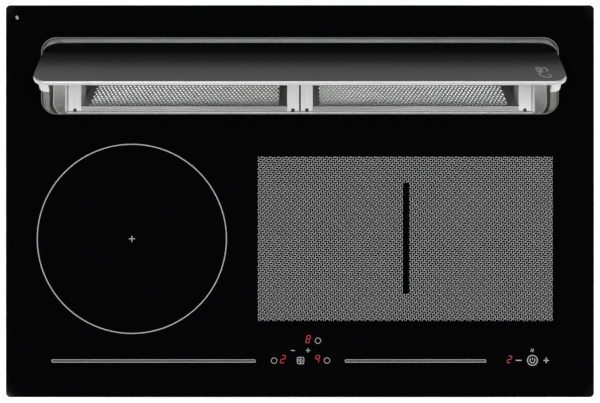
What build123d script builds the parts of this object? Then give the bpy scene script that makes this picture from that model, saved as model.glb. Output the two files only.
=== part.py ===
from build123d import *
import os
from math import cos, radians, sin, tan

# Downdraft induction cooktop: a drop-in glass hob with a swivelling cover flap over two lift-out
# filter cassettes, and under them the air chamber, the lying blower, the overflow container and
# the induction tray. X points right, Y to the rear, Z up. The origin is the middle of the hob on
# the worktop's surface.

# hob glass, its seal and the cut-out in the worktop
glass_width = 780.0
glass_depth = 520.0
glass_thick = 4.0
glass_corner = 6.0
glass_bevel = 0.6
seal_thick = 2.0
seal_width = 9.0
seal_inset = 1.5
overhang = 15.0
worktop_thick = 40.0
casing_gap = 3.0
sheet = 1.2
bolt_gap = 0.3
fit_gap = 0.3
frame_thick = 1.6
frame_margin = 1.0
frame_lap = 4.0
frame_gap = 0.5
skin_gap = 0.05

# opening in the glass and its steel trim
opening_side = 47.0
opening_depth = 102.2
opening_margin = 42.8
opening_corner = 20.0
trim_gap = 0.1
trim_wall = 1.2
trim_flange = 6.0
trim_proud = 0.4

# cover flap
flap_angle = 50.0
flap_side_gap = 1.4
flap_front_gap = 1.3
flap_rear_gap = 2.1
flap_corner = 20.0
flap_glass_thick = 4.0
flap_sheet = 1.0
flap_rim = 1.0
flap_rim_drop = 0.1
flap_bond = 0.2
flap_skirt_depth = 14.0
flap_skirt_wall = 1.2
hinge_inset = 18.5
hinge_drop = 7.5
hinge_pin_radius = 2.0
hinge_play = 0.05
bush_wall = 0.9
bush_length = 4.6
pin_tail = 2.0

# flap drive: sector gear, pinion and flat gear motor
gear_module = 1.0
sector_teeth = 48
sector_cut = 11
sector_lead = 3
pinion_teeth = 12
gear_width = 4.0
gear_gap = 1.0
gear_hub_wall = 1.2
gear_web_margin = 1.0
tooth_root_half = 0.92
tooth_tip_half = 0.34
tooth_head = 0.85
tooth_foot = 1.15
tooth_sink = 0.4
pinion_shaft_radius = 2.0
pinion_shaft_length = 4.0
pinion_shaft_relief = 1.0
motor_radius = 18.0
motor_depth = 13.0
motor_offset = 10.0
bracket_width = 48.0
bracket_gap = 1.0
bracket_top = 2.0
bracket_foot = 8.0
bracket_relief = 3.0

# touch sensor under the flap glass
touch_side = 27.8
touch_v = -54.4
touch_width = 24.0
touch_depth = 18.0
touch_thick = 1.8

# stainless intake liner
liner_floor = 41.0
liner_throat_depth = 72.0
throat_end_gap = 31.9
throat_top = 1.0
ledge_top = 1.8
ledge_width = 3.1
throat_rear_back = 48.3
seat_width = 3.0

# filter cassettes
cassette_seam = 2.0
cassette_end_gap = 1.6
cassette_top = 1.5
cassette_sheet = 1.0
cassette_depth = 47.3
cheek_width = 16.0
cheek_gap = 1.0
front_rail = 6.9
cassette_foot = 68.0
cassette_back_inset = 3.5
lift_tilt = 20.0
mesh_top_drop = 10.7
mesh_front_inset = 9.3
mesh_slope = 57.0
mesh_length = 60.0
mesh_thick = 2.0
mesh_border = 10.6
mesh_slot_length = 8.0
mesh_slot_width = 3.6
mesh_slot_pitch_x = 10.6
mesh_slot_pitch_y = 5.6
rivet_radius = 2.5
rivet_height = 0.9
rivet_inset = 9.7
rivet_setback = 1.8
rib_plate_width = 24.0
rib_web = 3.0
rib_depth = 36.0

# downdraft chamber
chamber_bottom = 118.0
nose_length = 74.0
nose_half = 170.0
nose_top = 62.0
tray_setback = 12.3
chamber_gap = 1.0
drain_setback = 45.0
drain_radius = 8.0
drain_length = 3.0

# blower
blower_x = 0.0
blower_to_duct = 128.0
inlet_radius = 66.0
gasket_thick = 2.0
gasket_width = 10.0
scroll_height = 84.0
scroll_start = 96.0
scroll_end = 136.0
scroll_tongue = 50.0
scroll_points = 12
duct_left_x = 40.0
duct_width = 217.0
duct_setback = 4.0
duct_straight = 30.0
duct_flare_end = 23.0
tongue_x = 62.0
tongue_run = 73.0
impeller_radius = 84.0
impeller_inner = 66.0
impeller_top_gap = 10.0
impeller_height = 60.0
blade_count = 32
blade_thick = 1.2
blade_turn = 35.0
cup_radius = 46.0
cup_wall = 2.0
cup_height = 38.0
hub_length = 6.0
hub_wall = 4.0
blower_motor_radius = 40.0
blower_motor_gap = 8.0
blower_motor_edge = 2.0
blower_shaft_radius = 4.0
blower_shaft_seat = 20.0
blower_shaft_proud = 3.0
bell_throat = 58.0
bell_drop = 12.0
bell_lip = 2.0
bell_flange = 5.0
collar_length = 18.0
collar_flange = 12.0
collar_bolt_radius = 2.25
collar_bolt_rise = 36.0

# overflow container and its rails
drawer_side_gap = 27.0
drawer_scroll_gap = 19.0
drawer_front_run = 52.0
drawer_rear_gap = 14.0
drawer_height = 44.0
drawer_wall = 2.0
drawer_lip = 6.0
rail_thick = 1.5
rail_play = 0.5
grip_width = 70.0
grip_depth = 14.0
grip_height = 12.0

# blower control box
box_duct_gap = 15.0
box_side_gap = 10.0
box_front_gap = 13.0
box_rear_gap = 14.0
box_height = 40.0
box_corner = 4.0

# induction tray
tray_depth = 60.0
tray_sheet = 1.0
tray_flange = 8.0
vent_count = 22
vent_pitch = 28.0
vent_width = 18.0
vent_height = 4.0
vent_rows = 3
vent_row_pitch = 9.0
gland_side = 42.0
gland_front = 37.0
gland_thread_radius = 8.0
gland_bore_radius = 6.5
gland_flange_radius = 12.0
gland_length = 22.0
gland_nut = 4.0
gland_edge = 1.5

# coils under the glass
zone_x = -222.8
coil_front_clear = 12.1
coil_rear_clear = 47.9
carrier_margin = 2.0
round_coil_inner = 26.0
flex_x = 139.6
flex_pitch = 186.0
flex_coil_width = 176.0
flex_coil_shrink = 3.0
flex_coil_corner = 30.0
flex_coil_inner_width = 46.0
flex_coil_inner_depth = 72.0
coil_gap = 1.0
mica_thick = 0.6
coil_thick = 7.0
carrier_thick = 2.0
ferrite_thick = 6.0
ferrite_width = 14.0
ferrite_start = 8.0
ferrite_end = 12.0
ferrite_count = 8
plate_thick = 1.5
sensor_radius = 5.0
post_radius = 4.0

# cooling fans and boards in the tray
fan_x = 232.0
fan_setback = 42.0
fan_size = 84.0
fan_height = 24.0
fan_hole_radius = 34.0
fan_hub_radius = 14.0
fan_rotor_radius = 30.0
fan_blade_count = 9
fan_wall = 2.0
fan_outlet_share = 0.6
fan_pin_radius = 2.0
fan_pin_start = 4.0
stator_depth = 5.0
stator_inset = 3.0
rotor_lift = 2.0
rotor_gap = 1.0
rotor_wall = 2.5
vane_sink = 2.0
guard_bar = 3.0
guard_margin = 4.0
guard_lap = 1.0
guard_ring = 0.66
board_thick = 1.6
board_lift = 8.0
board_width = 250.0
board_front = 82.0
board_fan_gap = 30.0
board_foot = 8.0
board_x = 170.0
sink_width = 110.0
sink_depth = 60.0
sink_height = 24.0
sink_base = 4.0
sink_fins = 9
sink_fin = 1.6
filter_board_width = 96.0
filter_board_depth = 60.0
filter_board_side = 142.0
filter_board_front = 37.0
filter_board_foot = 6.0
choke_radius = 14.0
choke_height = 18.0
choke_pitch = 44.0
choke_base = 2.0
terminal_width = 52.0
terminal_depth = 20.0
terminal_height = 16.0
terminal_side = 57.0
terminal_front = 69.0
terminal_count = 5
terminal_pitch = 8.5
terminal_hole_radius = 2.6
terminal_hole_depth = 6.0

# touch control strip
control_left_gap = 34.0
control_right_gap = 27.0
control_front_gap = 16.0
control_depth = 58.0
control_drop = 12.0
control_rib = 2.0
control_leg_inset = 8.0
touch_pin_inset = 12.0
display_width = 12.0
display_depth = 16.0
display_height = 3.0
display_places = ((10.0, 43.0), (-22.0, 16.0), (22.0, 16.0), (278.0, 16.0))

# hold-down clamps and screws
clamp_width = 24.0
clamp_reach = 15.0
clamp_leg = 18.0
clamp_thick = 2.0
clamp_places = (-150.0, 190.0)
clamp_screw_radius = 2.0
clamp_screw_head = 3.5
clamp_screw_length = 16.0
clamp_screw_offset = 1.0
clamp_screw_gap = 0.5
screw_head_radius = 3.5
screw_head_height = 2.2
casing_screw_inset = 20.0
casing_screw_x = 200.0

# worked out from the sizes above
glass_top = seal_thick + glass_thick
glass_half_x = glass_width / 2
glass_half_y = glass_depth / 2
cutout_half_x = glass_half_x - overhang
cutout_half_y = glass_half_y - overhang
casing_half_x = cutout_half_x - casing_gap
casing_rear_y = cutout_half_y - casing_gap
tray_front_y = -casing_rear_y
frame_low = seal_thick - frame_thick

opening_half = glass_half_x - opening_side
opening_rear_y = glass_half_y - opening_margin
opening_front_y = opening_rear_y - opening_depth
inner_inset = trim_gap + trim_wall
inner_half = opening_half - inner_inset
inner_front_y = opening_front_y + inner_inset
inner_rear_y = opening_rear_y - inner_inset
inner_corner = opening_corner - inner_inset
trim_low = seal_thick - sheet

flap_half = inner_half - flap_side_gap
flap_front_y = inner_front_y + flap_front_gap
flap_rear_y = inner_rear_y - flap_rear_gap
flap_depth = flap_rear_y - flap_front_y
hinge_y = flap_rear_y - hinge_inset
hinge_z = glass_top - hinge_drop
flap_middle_v = hinge_inset - flap_depth / 2
touch_x = flap_half - touch_side
pan_base = hinge_drop - flap_glass_thick - flap_sheet
flap_tilt = radians(flap_angle)
flap_plane = Plane((0, hinge_y, hinge_z), x_dir=(1, 0, 0), z_dir=(0, sin(flap_tilt), cos(flap_tilt)))

throat_half = inner_half - throat_end_gap
throat_front_y = inner_front_y + ledge_width
throat_rear_y = inner_rear_y - throat_rear_back
cassette_half_end = throat_half - cassette_end_gap
cassette_front_y = throat_front_y + fit_gap
cassette_rear_y = cassette_front_y + cassette_depth
seat_top = -cassette_top - cassette_sheet - fit_gap
pocket_out = cassette_half_end - cheek_width
pocket_in = cassette_seam / 2 + cheek_width - cassette_sheet / 2
pocket_front_y = cassette_front_y + front_rail
pocket_rear_y = cassette_rear_y - cassette_back_inset
mesh_tilt = radians(mesh_slope)
mesh_start_y = cassette_front_y + mesh_front_inset

chamber_top = -liner_floor - sheet
floor_top = -chamber_bottom + sheet
tray_rear_y = inner_front_y - tray_setback
chamber_front_y = tray_rear_y + chamber_gap
nose_front_y = tray_rear_y - nose_length
drain_y = chamber_front_y + drain_setback
pitch_radius = gear_module * sector_teeth / 2
pinion_pitch_radius = gear_module * pinion_teeth / 2
pinion_z = hinge_z - pitch_radius - pinion_pitch_radius
gear_x = -(opening_half + trim_flange + gear_gap)
duct_end_y = casing_rear_y - duct_setback
blower_y = duct_end_y - blower_to_duct
tongue_y = blower_y + tongue_run
duct_right_x = duct_left_x + duct_width
cover_top = -chamber_bottom - gasket_thick
scroll_floor = cover_top - scroll_height
control_left_x = -casing_half_x + control_left_gap
control_right_x = casing_half_x - control_right_gap
control_front_y = tray_front_y + control_front_gap
control_rear_y = control_front_y + control_depth
carrier_radius = (tray_rear_y - coil_rear_clear - control_rear_y - coil_front_clear) / 2
round_coil_radius = carrier_radius - carrier_margin
zone_y = control_rear_y + coil_front_clear + carrier_radius
flex_coil_depth = 2 * (carrier_radius - carrier_margin - flex_coil_shrink)
ferrite_length = round_coil_radius - round_coil_inner - ferrite_start - ferrite_end
coil_top = seal_thick - coil_gap
coil_low = coil_top - coil_thick
carrier_low = coil_low - carrier_thick
ferrite_low = carrier_low - ferrite_thick
plate_low = ferrite_low - plate_thick
tray_floor = -tray_depth + tray_sheet
drawer_top = -chamber_bottom - rail_thick - rail_play
drawer_low = drawer_top - drawer_height
drawer_left_x = -casing_half_x + drawer_side_gap
drawer_right_x = blower_x - scroll_end - drawer_scroll_gap
drawer_front_y = blower_y - drawer_front_run
drawer_rear_y = casing_rear_y - drawer_rear_gap
drawer_middle = (drawer_left_x + drawer_right_x) / 2
drain_x = drawer_middle
box_left_x = duct_right_x + box_duct_gap
box_right_x = casing_half_x - box_side_gap
box_front_y = chamber_front_y + box_front_gap
box_rear_y = casing_rear_y - box_rear_gap
gland_x = -casing_half_x + gland_side
gland_y = tray_front_y + gland_front
fan_y = tray_rear_y - fan_setback
board_front_y = tray_front_y + board_front
board_rear_y = fan_y - fan_size / 2 - board_fan_gap
board_depth = board_rear_y - board_front_y
board_y = (board_front_y + board_rear_y) / 2
filter_board_x = -casing_half_x + filter_board_side
filter_board_y = tray_front_y + filter_board_front
terminal_x = -casing_half_x + terminal_side
terminal_y = tray_front_y + terminal_front


def block(x_low, x_high, y_low, y_high, z_low, z_high, mode=Mode.ADD):
    """A box between two corners."""
    middle = ((x_low + x_high) / 2, (y_low + y_high) / 2, (z_low + z_high) / 2)
    with Locations(middle):
        Box(x_high - x_low, y_high - y_low, z_high - z_low, mode=mode)


def rounded_slab(x_half, y_low, y_high, corner, z_low, z_high, mode=Mode.ADD):
    """A flat slab, centred on x = 0, with rounded corners in plan."""
    with BuildSketch(Plane.XY.offset(z_low)) as area:
        with Locations((0, (y_low + y_high) / 2)):
            RectangleRounded(2 * x_half, y_high - y_low, corner)
    extrude(area.sketch, amount=z_high - z_low, mode=mode)


def side_profile(points, x_low, x_high, mode=Mode.ADD):
    """A closed outline in the YZ plane, carried along X."""
    with BuildSketch(Plane.YZ.offset(x_low)) as area:
        with BuildLine():
            Polyline(*points, close=True)
        make_face()
    extrude(area.sketch, amount=x_high - x_low, mode=mode)


def rod_x(x_low, x_high, y, z, radius, mode=Mode.ADD):
    """A round rod along X."""
    with BuildSketch(Plane.YZ.offset(x_low)) as area:
        with Locations((y, z)):
            Circle(radius)
    extrude(area.sketch, amount=x_high - x_low, mode=mode)


def rod_z(x, y, z_low, z_high, radius, mode=Mode.ADD):
    """A round rod along Z."""
    with BuildSketch(Plane.XY.offset(z_low)) as area:
        with Locations((x, y)):
            Circle(radius)
    extrude(area.sketch, amount=z_high - z_low, mode=mode)


def flap_slab(inset, front, w_low, w_high, mode=Mode.ADD):
    """A slab of the flap's outline between two heights over the hinge axis.

    It is drawn in by inset all round, and its front edge by front more.
    """
    with BuildSketch(flap_plane.offset(w_low)) as area:
        with Locations((0, flap_middle_v + front / 2)):
            depth = flap_depth - front - 2 * inset
            RectangleRounded(2 * (flap_half - inset), depth, flap_corner - inset)
    extrude(area.sketch, amount=w_high - w_low, mode=mode)


def save(builder, name):
    """Label one finished piece and write it as its own file."""
    builder.part.label = name
    export_step(builder.part, f"parts/{name}.step")


os.makedirs("parts", exist_ok=True)

# ---------------------------------------------------------------- glass, seal, trim and frame

with BuildPart() as glass_plate:
    rounded_slab(glass_half_x, -glass_half_y, glass_half_y, glass_corner, seal_thick, glass_top)
    chamfer(glass_plate.faces().sort_by(Axis.Z)[-1].outer_wire().edges(), glass_bevel)
    rounded_slab(
        opening_half, opening_front_y, opening_rear_y, opening_corner, seal_thick, glass_top, Mode.SUBTRACT
    )
save(glass_plate, "glass_plate")

with BuildPart() as worktop_seal:
    seal_out = seal_inset
    seal_in = seal_inset + seal_width
    rounded_slab(
        glass_half_x - seal_out,
        -glass_half_y + seal_out,
        glass_half_y - seal_out,
        glass_corner,
        0,
        seal_thick,
    )
    rounded_slab(
        glass_half_x - seal_in,
        -glass_half_y + seal_in,
        glass_half_y - seal_in,
        glass_corner,
        0,
        seal_thick,
        Mode.SUBTRACT,
    )
save(worktop_seal, "worktop_seal")

bush_radius = hinge_pin_radius + hinge_play + bush_wall
with BuildPart() as opening_trim:
    ring_out = trim_gap
    rounded_slab(
        opening_half + trim_flange,
        opening_front_y - trim_flange,
        opening_rear_y + trim_flange,
        opening_corner + trim_flange,
        trim_low,
        seal_thick,
    )
    rounded_slab(
        opening_half - ring_out,
        opening_front_y + ring_out,
        opening_rear_y - ring_out,
        opening_corner - ring_out,
        trim_low,
        glass_top + trim_proud,
    )
    rounded_slab(
        inner_half,
        inner_front_y,
        inner_rear_y,
        inner_corner,
        trim_low,
        glass_top + trim_proud,
        Mode.SUBTRACT,
    )
    rod_x(-glass_half_x, glass_half_x, hinge_y, hinge_z, bush_radius, Mode.SUBTRACT)
save(opening_trim, "opening_trim")

frame_outer_x = cutout_half_x - frame_margin
frame_outer_y = cutout_half_y - frame_margin
frame_inner_x = -gear_x + gear_width + motor_depth - frame_lap
with BuildPart() as support_frame:
    rounded_slab(frame_outer_x, -frame_outer_y, frame_outer_y, glass_corner, frame_low, seal_thick)
    block(
        -frame_inner_x,
        frame_inner_x,
        tray_front_y + tray_flange,
        tray_rear_y - tray_flange,
        frame_low,
        seal_thick,
        Mode.SUBTRACT,
    )
    window_low = opening_front_y - trim_flange - frame_gap
    window_high = opening_rear_y + trim_flange + frame_gap
    block(-frame_inner_x, frame_inner_x, window_low, window_high, frame_low, seal_thick, Mode.SUBTRACT)
save(support_frame, "support_frame")

# ---------------------------------------------------------------- intake liner and the rib

with BuildPart() as intake_liner:
    rounded_slab(
        inner_half + sheet,
        inner_front_y - sheet,
        inner_rear_y + sheet,
        inner_corner + sheet,
        chamber_top,
        trim_low,
    )
    rounded_slab(
        inner_half,
        inner_front_y,
        inner_rear_y,
        inner_corner,
        -liner_floor,
        trim_low,
        Mode.SUBTRACT,
    )
    # place of the throat in the floor
    block(
        -throat_half - sheet,
        throat_half + sheet,
        throat_front_y - sheet,
        throat_rear_y + sheet,
        chamber_top,
        -liner_floor,
        Mode.SUBTRACT,
    )
    rod_x(-glass_half_x, glass_half_x, hinge_y, hinge_z, bush_radius, Mode.SUBTRACT)
save(intake_liner, "intake_liner")

with BuildPart() as throat_frame:
    # walls round the two cassettes, open at both ends
    block(
        -throat_half - sheet,
        throat_half + sheet,
        throat_front_y - sheet,
        throat_rear_y + sheet,
        -liner_throat_depth,
        -throat_top,
    )
    # front ledge between the trim and the cassettes
    block(
        -throat_half - sheet,
        throat_half + sheet,
        inner_front_y,
        throat_front_y,
        -ledge_top - sheet,
        -ledge_top,
    )
    block(
        -throat_half,
        throat_half,
        throat_front_y,
        throat_rear_y,
        -liner_throat_depth,
        trim_low,
        Mode.SUBTRACT,
    )
    # the front wall of the throat ends under the ledge
    block(
        -throat_half - sheet,
        throat_half + sheet,
        throat_front_y - sheet,
        throat_front_y,
        -ledge_top,
        -throat_top,
        Mode.SUBTRACT,
    )
    # seats for the cassettes' flanges
    seat_low = seat_top - sheet
    block(-throat_half, throat_half, throat_front_y, throat_front_y + seat_width, seat_low, seat_top)
    block(-throat_half, throat_half, throat_rear_y - seat_width, throat_rear_y, seat_low, seat_top)
save(throat_frame, "throat_frame")

with BuildPart() as filter_support_rib:
    block(
        -rib_plate_width / 2,
        rib_plate_width / 2,
        throat_front_y + seat_width,
        throat_rear_y - seat_width,
        seat_top - sheet,
        seat_top,
    )
    block(
        -rib_web / 2,
        rib_web / 2,
        throat_front_y,
        throat_rear_y,
        seat_top - sheet - rib_depth,
        seat_top - sheet,
    )
save(filter_support_rib, "filter_support_rib")

# ---------------------------------------------------------------- cover flap and its drive

with BuildPart() as flap_glass:
    flap_slab(0, flap_rim + flap_bond, pan_base + flap_sheet, hinge_drop)
save(flap_glass, "flap_glass")

with BuildPart() as flap_pan:
    # the plate under the glass, and the rim in front of it
    flap_slab(0, 0, pan_base, hinge_drop - flap_rim_drop)
    flap_slab(-flap_bond, flap_rim, pan_base + flap_sheet, hinge_drop, Mode.SUBTRACT)
    # window for the touch sensor
    with BuildSketch(flap_plane.offset(pan_base)) as window:
        with Locations((touch_x, touch_v)):
            Rectangle(touch_width + 2 * fit_gap, touch_depth + 2 * fit_gap)
    extrude(window.sketch, amount=flap_sheet, mode=Mode.SUBTRACT)
save(flap_pan, "flap_pan")

with BuildPart() as flap_end_skirts:
    # sheet walls that wrap the corners
    with BuildSketch(flap_plane.offset(pan_base)) as skirts:
        with Locations((0, flap_middle_v)):
            RectangleRounded(2 * flap_half, flap_depth, flap_corner)
            RectangleRounded(
                2 * (flap_half - flap_skirt_wall),
                flap_depth - 2 * flap_skirt_wall,
                flap_corner - flap_skirt_wall,
                mode=Mode.SUBTRACT,
            )
            Rectangle(2 * (flap_half - flap_corner), flap_depth, mode=Mode.SUBTRACT)
    extrude(skirts.sketch, amount=-flap_skirt_depth)
    rod_x(-glass_half_x, glass_half_x, hinge_y, hinge_z, hinge_pin_radius, Mode.SUBTRACT)
save(flap_end_skirts, "flap_end_skirts")

with BuildPart() as flap_touch_sensor:
    with BuildSketch(flap_plane.offset(pan_base + flap_sheet)) as board:
        with Locations((touch_x, touch_v)):
            Rectangle(touch_width, touch_depth)
    extrude(board.sketch, amount=-touch_thick)
save(flap_touch_sensor, "flap_touch_sensor")

with BuildPart() as flap_hinge_pins:
    pin_end_left = gear_x - gear_width
    pin_end_right = inner_half + bush_length
    rod_x(pin_end_left, -flap_half + flap_skirt_wall + pin_tail, hinge_y, hinge_z, hinge_pin_radius)
    rod_x(flap_half - flap_skirt_wall - pin_tail, pin_end_right, hinge_y, hinge_z, hinge_pin_radius)
save(flap_hinge_pins, "flap_hinge_pins")

with BuildPart() as hinge_bushes:
    for side in (-1, 1):
        bush_low = min(side * inner_half, side * (inner_half + bush_length))
        rod_x(bush_low, bush_low + bush_length, hinge_y, hinge_z, bush_radius)
    rod_x(-glass_half_x, glass_half_x, hinge_y, hinge_z, hinge_pin_radius + hinge_play, Mode.SUBTRACT)
save(hinge_bushes, "hinge_bushes")


def gear_plane(z):
    """The plane of a gear whose teeth start at gear_x and grow to the left."""
    return Plane((gear_x - gear_width, hinge_y, z), x_dir=(0, 1, 0), z_dir=(1, 0, 0))


def tooth():
    """One straight-sided tooth that grows along local X from the root circle."""
    Polygon(
        (-tooth_sink, -tooth_root_half),
        (tooth_foot + tooth_head, -tooth_tip_half),
        (tooth_foot + tooth_head, tooth_tip_half),
        (-tooth_sink, tooth_root_half),
        align=None,
    )


sector_root = pitch_radius - tooth_foot
sector_step = 360.0 / sector_teeth
sector_first = -90.0 - sector_step * (sector_cut - sector_lead)
with BuildPart() as sector_gear:
    with BuildSketch(gear_plane(hinge_z)) as sector:
        Circle(sector_root)
        web_low = radians(sector_first - sector_step * gear_web_margin)
        web_high = radians(sector_first + sector_step * (sector_cut - 1 + gear_web_margin))
        reach = 3 * pitch_radius
        Polygon(
            (0, 0),
            (reach * cos(web_low), reach * sin(web_low)),
            (reach * cos(web_high), reach * sin(web_high)),
            align=None,
            mode=Mode.INTERSECT,
        )
        Circle(hinge_pin_radius + gear_hub_wall)
        with PolarLocations(sector_root, sector_cut, sector_first, sector_step * sector_cut):
            tooth()
        Circle(hinge_pin_radius, mode=Mode.SUBTRACT)
    extrude(sector.sketch, amount=gear_width)
save(sector_gear, "sector_gear")

pinion_root = pinion_pitch_radius - tooth_foot
pinion_step = 360.0 / pinion_teeth
with BuildPart() as drive_pinion:
    with BuildSketch(gear_plane(pinion_z)) as pinion:
        Circle(pinion_root)
        with PolarLocations(pinion_root, pinion_teeth, 90.0 + pinion_step / 2):
            tooth()
    extrude(pinion.sketch, amount=gear_width)
    shaft_end = gear_x - gear_width - pinion_shaft_length
    rod_x(shaft_end, gear_x - gear_width, hinge_y, pinion_z, pinion_shaft_radius)
save(drive_pinion, "drive_pinion")

bracket_x = gear_x - gear_width - bracket_gap - sheet
bracket_front_y = hinge_y - bracket_width / 2
bracket_rear_y = hinge_y + bracket_width / 2
with BuildPart() as flap_motor_bracket:
    bracket_foot_x = bracket_x + sheet + bracket_foot
    bracket_low = chamber_top + sheet
    block(bracket_x, bracket_x + sheet, bracket_front_y, bracket_rear_y, bracket_low, -bracket_top)
    block(bracket_x, bracket_foot_x, bracket_front_y, bracket_rear_y, chamber_top, bracket_low)
    shaft_hole = pinion_shaft_radius + pinion_shaft_relief
    rod_x(bracket_x, bracket_x + sheet, hinge_y, pinion_z, shaft_hole, Mode.SUBTRACT)
    # relief round the end of the hinge pin
    pin_hole = hinge_pin_radius + bracket_relief
    rod_x(bracket_x, bracket_x + sheet, hinge_y, hinge_z, pin_hole, Mode.SUBTRACT)
save(flap_motor_bracket, "flap_motor_bracket")

with BuildPart() as flap_motor:
    rod_x(bracket_x - motor_depth, bracket_x, hinge_y, pinion_z + motor_offset, motor_radius)
    motor_hole = pinion_shaft_radius + hinge_play
    rod_x(bracket_x - pinion_shaft_length, bracket_x, hinge_y, pinion_z, motor_hole, Mode.SUBTRACT)
save(flap_motor, "flap_motor")

# ---------------------------------------------------------------- filter cassettes


def span(side, near, far):
    """Order two distances from the middle as an X span on one side of the hob."""
    return (near, far) if side > 0 else (-far, -near)


lift_slant = tan(radians(lift_tilt))
foot_run = lift_slant * (cassette_foot + seat_top)
filter_foot_y = cassette_front_y + seat_width + fit_gap + foot_run + cheek_gap

for name, side in (("left", -1), ("right", 1)):
    outer = span(side, cassette_seam / 2, cassette_half_end)
    pocket = span(side, pocket_in, pocket_out)
    flange_low = -cassette_top - cassette_sheet
    with BuildPart() as filter_frame:
        block(*outer, cassette_front_y, cassette_rear_y, flange_low, -cassette_top)
        block(*pocket, pocket_front_y, pocket_rear_y, flange_low, -cassette_top, Mode.SUBTRACT)
        # cheeks at both ends of the pocket
        cheek = (
            (cassette_front_y + seat_width + cheek_gap, flange_low),
            (pocket_rear_y + cassette_sheet, flange_low),
            (pocket_rear_y + cassette_sheet, -cassette_foot),
            (filter_foot_y, -cassette_foot),
        )
        for edge in (pocket[0] - cassette_sheet, pocket[1]):
            side_profile(cheek, edge, edge + cassette_sheet)
        # short front wall down to the mesh
        front_wall = (
            (pocket_front_y - cassette_sheet, flange_low),
            (pocket_front_y, flange_low),
            (mesh_start_y, -mesh_top_drop),
            (mesh_start_y - cassette_sheet, -mesh_top_drop),
        )
        side_profile(front_wall, *pocket)
        block(*pocket, pocket_rear_y, pocket_rear_y + cassette_sheet, -cassette_foot, flange_low)
        # foot rail that the mesh's lower edge rests on
        block(*pocket, filter_foot_y, pocket_rear_y, -cassette_foot, -cassette_foot + cassette_sheet)
    save(filter_frame, f"{name}_filter_frame")

    pocket_middle = (pocket[0] + pocket[1]) / 2
    mesh_origin = (pocket_middle, mesh_start_y, -mesh_top_drop)
    mesh_plane = Plane(mesh_origin, x_dir=(1, 0, 0), z_dir=(0, sin(mesh_tilt), cos(mesh_tilt)))
    mesh_width = pocket[1] - pocket[0] - 2 * skin_gap
    slot_columns = int((mesh_width - 2 * mesh_border) / mesh_slot_pitch_x)
    slot_rows = int((mesh_length - 2 * mesh_border / 2) / mesh_slot_pitch_y)
    with BuildPart() as filter_mesh:
        with BuildSketch(mesh_plane.offset(-mesh_thick)) as slab:
            with Locations((0, mesh_length / 2)):
                Rectangle(mesh_width, mesh_length)
                with GridLocations(mesh_slot_pitch_x, mesh_slot_pitch_y, slot_columns, slot_rows):
                    Rectangle(mesh_slot_length, mesh_slot_width, mode=Mode.SUBTRACT)
        extrude(slab.sketch, amount=mesh_thick)
    save(filter_mesh, f"{name}_filter_mesh")

    with BuildPart() as filter_rivets:
        for x in (outer[0] + rivet_inset, outer[1] - rivet_inset):
            rivet_y = cassette_front_y + rivet_setback
            rod_z(x, rivet_y, -cassette_top, -cassette_top + rivet_height, rivet_radius)
        chamfer(filter_rivets.edges().group_by(Axis.Z)[-1], rivet_height / 2)
    save(filter_rivets, f"{name}_filter_rivets")

# ---------------------------------------------------------------- casing and chamber

with BuildPart() as upper_casing:
    block(-casing_half_x, casing_half_x, chamber_front_y, casing_rear_y, chamber_top, frame_low)
    block(
        -casing_half_x + sheet,
        casing_half_x - sheet,
        chamber_front_y,
        casing_rear_y - sheet,
        chamber_top,
        frame_low,
        Mode.SUBTRACT,
    )
save(upper_casing, "upper_casing")

with BuildPart() as chamber_lid:
    block(
        -casing_half_x,
        casing_half_x,
        chamber_front_y,
        casing_rear_y,
        chamber_top - sheet,
        chamber_top,
    )
    block(
        -throat_half - sheet - fit_gap,
        throat_half + sheet + fit_gap,
        throat_front_y - sheet - fit_gap,
        throat_rear_y + sheet + fit_gap,
        chamber_top - sheet,
        chamber_top,
        Mode.SUBTRACT,
    )
    # roof of the nose
    block(-nose_half, nose_half, nose_front_y, chamber_front_y, -nose_top - sheet, -nose_top)
save(chamber_lid, "chamber_lid")

with BuildPart() as chamber_walls:
    block(
        -casing_half_x,
        casing_half_x,
        chamber_front_y,
        casing_rear_y,
        floor_top,
        chamber_top - sheet,
    )
    block(
        -casing_half_x + sheet,
        casing_half_x - sheet,
        chamber_front_y,
        casing_rear_y - sheet,
        floor_top,
        chamber_top - sheet,
        Mode.SUBTRACT,
    )
save(chamber_walls, "chamber_walls")

with BuildPart() as chamber_front:
    block(
        -casing_half_x + sheet,
        casing_half_x - sheet,
        chamber_front_y,
        chamber_front_y + sheet,
        floor_top,
        chamber_top - sheet,
    )
    # way through from the nose
    block(
        -nose_half + sheet,
        nose_half - sheet,
        chamber_front_y,
        chamber_front_y + sheet,
        floor_top,
        -nose_top - sheet,
        Mode.SUBTRACT,
    )
save(chamber_front, "chamber_front")

with BuildPart() as chamber_floor:
    block(-casing_half_x, casing_half_x, chamber_front_y, casing_rear_y, -chamber_bottom, floor_top)
    block(-nose_half, nose_half, nose_front_y, chamber_front_y, -chamber_bottom, floor_top)
    rod_z(blower_x, blower_y, -chamber_bottom, floor_top, inlet_radius, Mode.SUBTRACT)
    rod_z(drain_x, drain_y, -chamber_bottom - drain_length, -chamber_bottom, drain_radius)
    rod_z(
        drain_x,
        drain_y,
        -chamber_bottom - drain_length,
        floor_top,
        drain_radius - sheet,
        Mode.SUBTRACT,
    )
save(chamber_floor, "chamber_floor")

with BuildPart() as chamber_nose:
    block(-nose_half, nose_half, nose_front_y, chamber_front_y, floor_top, -nose_top - sheet)
    block(
        -nose_half + sheet,
        nose_half - sheet,
        nose_front_y + sheet,
        chamber_front_y,
        floor_top,
        -nose_top - sheet,
        Mode.SUBTRACT,
    )
save(chamber_nose, "chamber_nose")

# ---------------------------------------------------------------- overflow container

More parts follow.
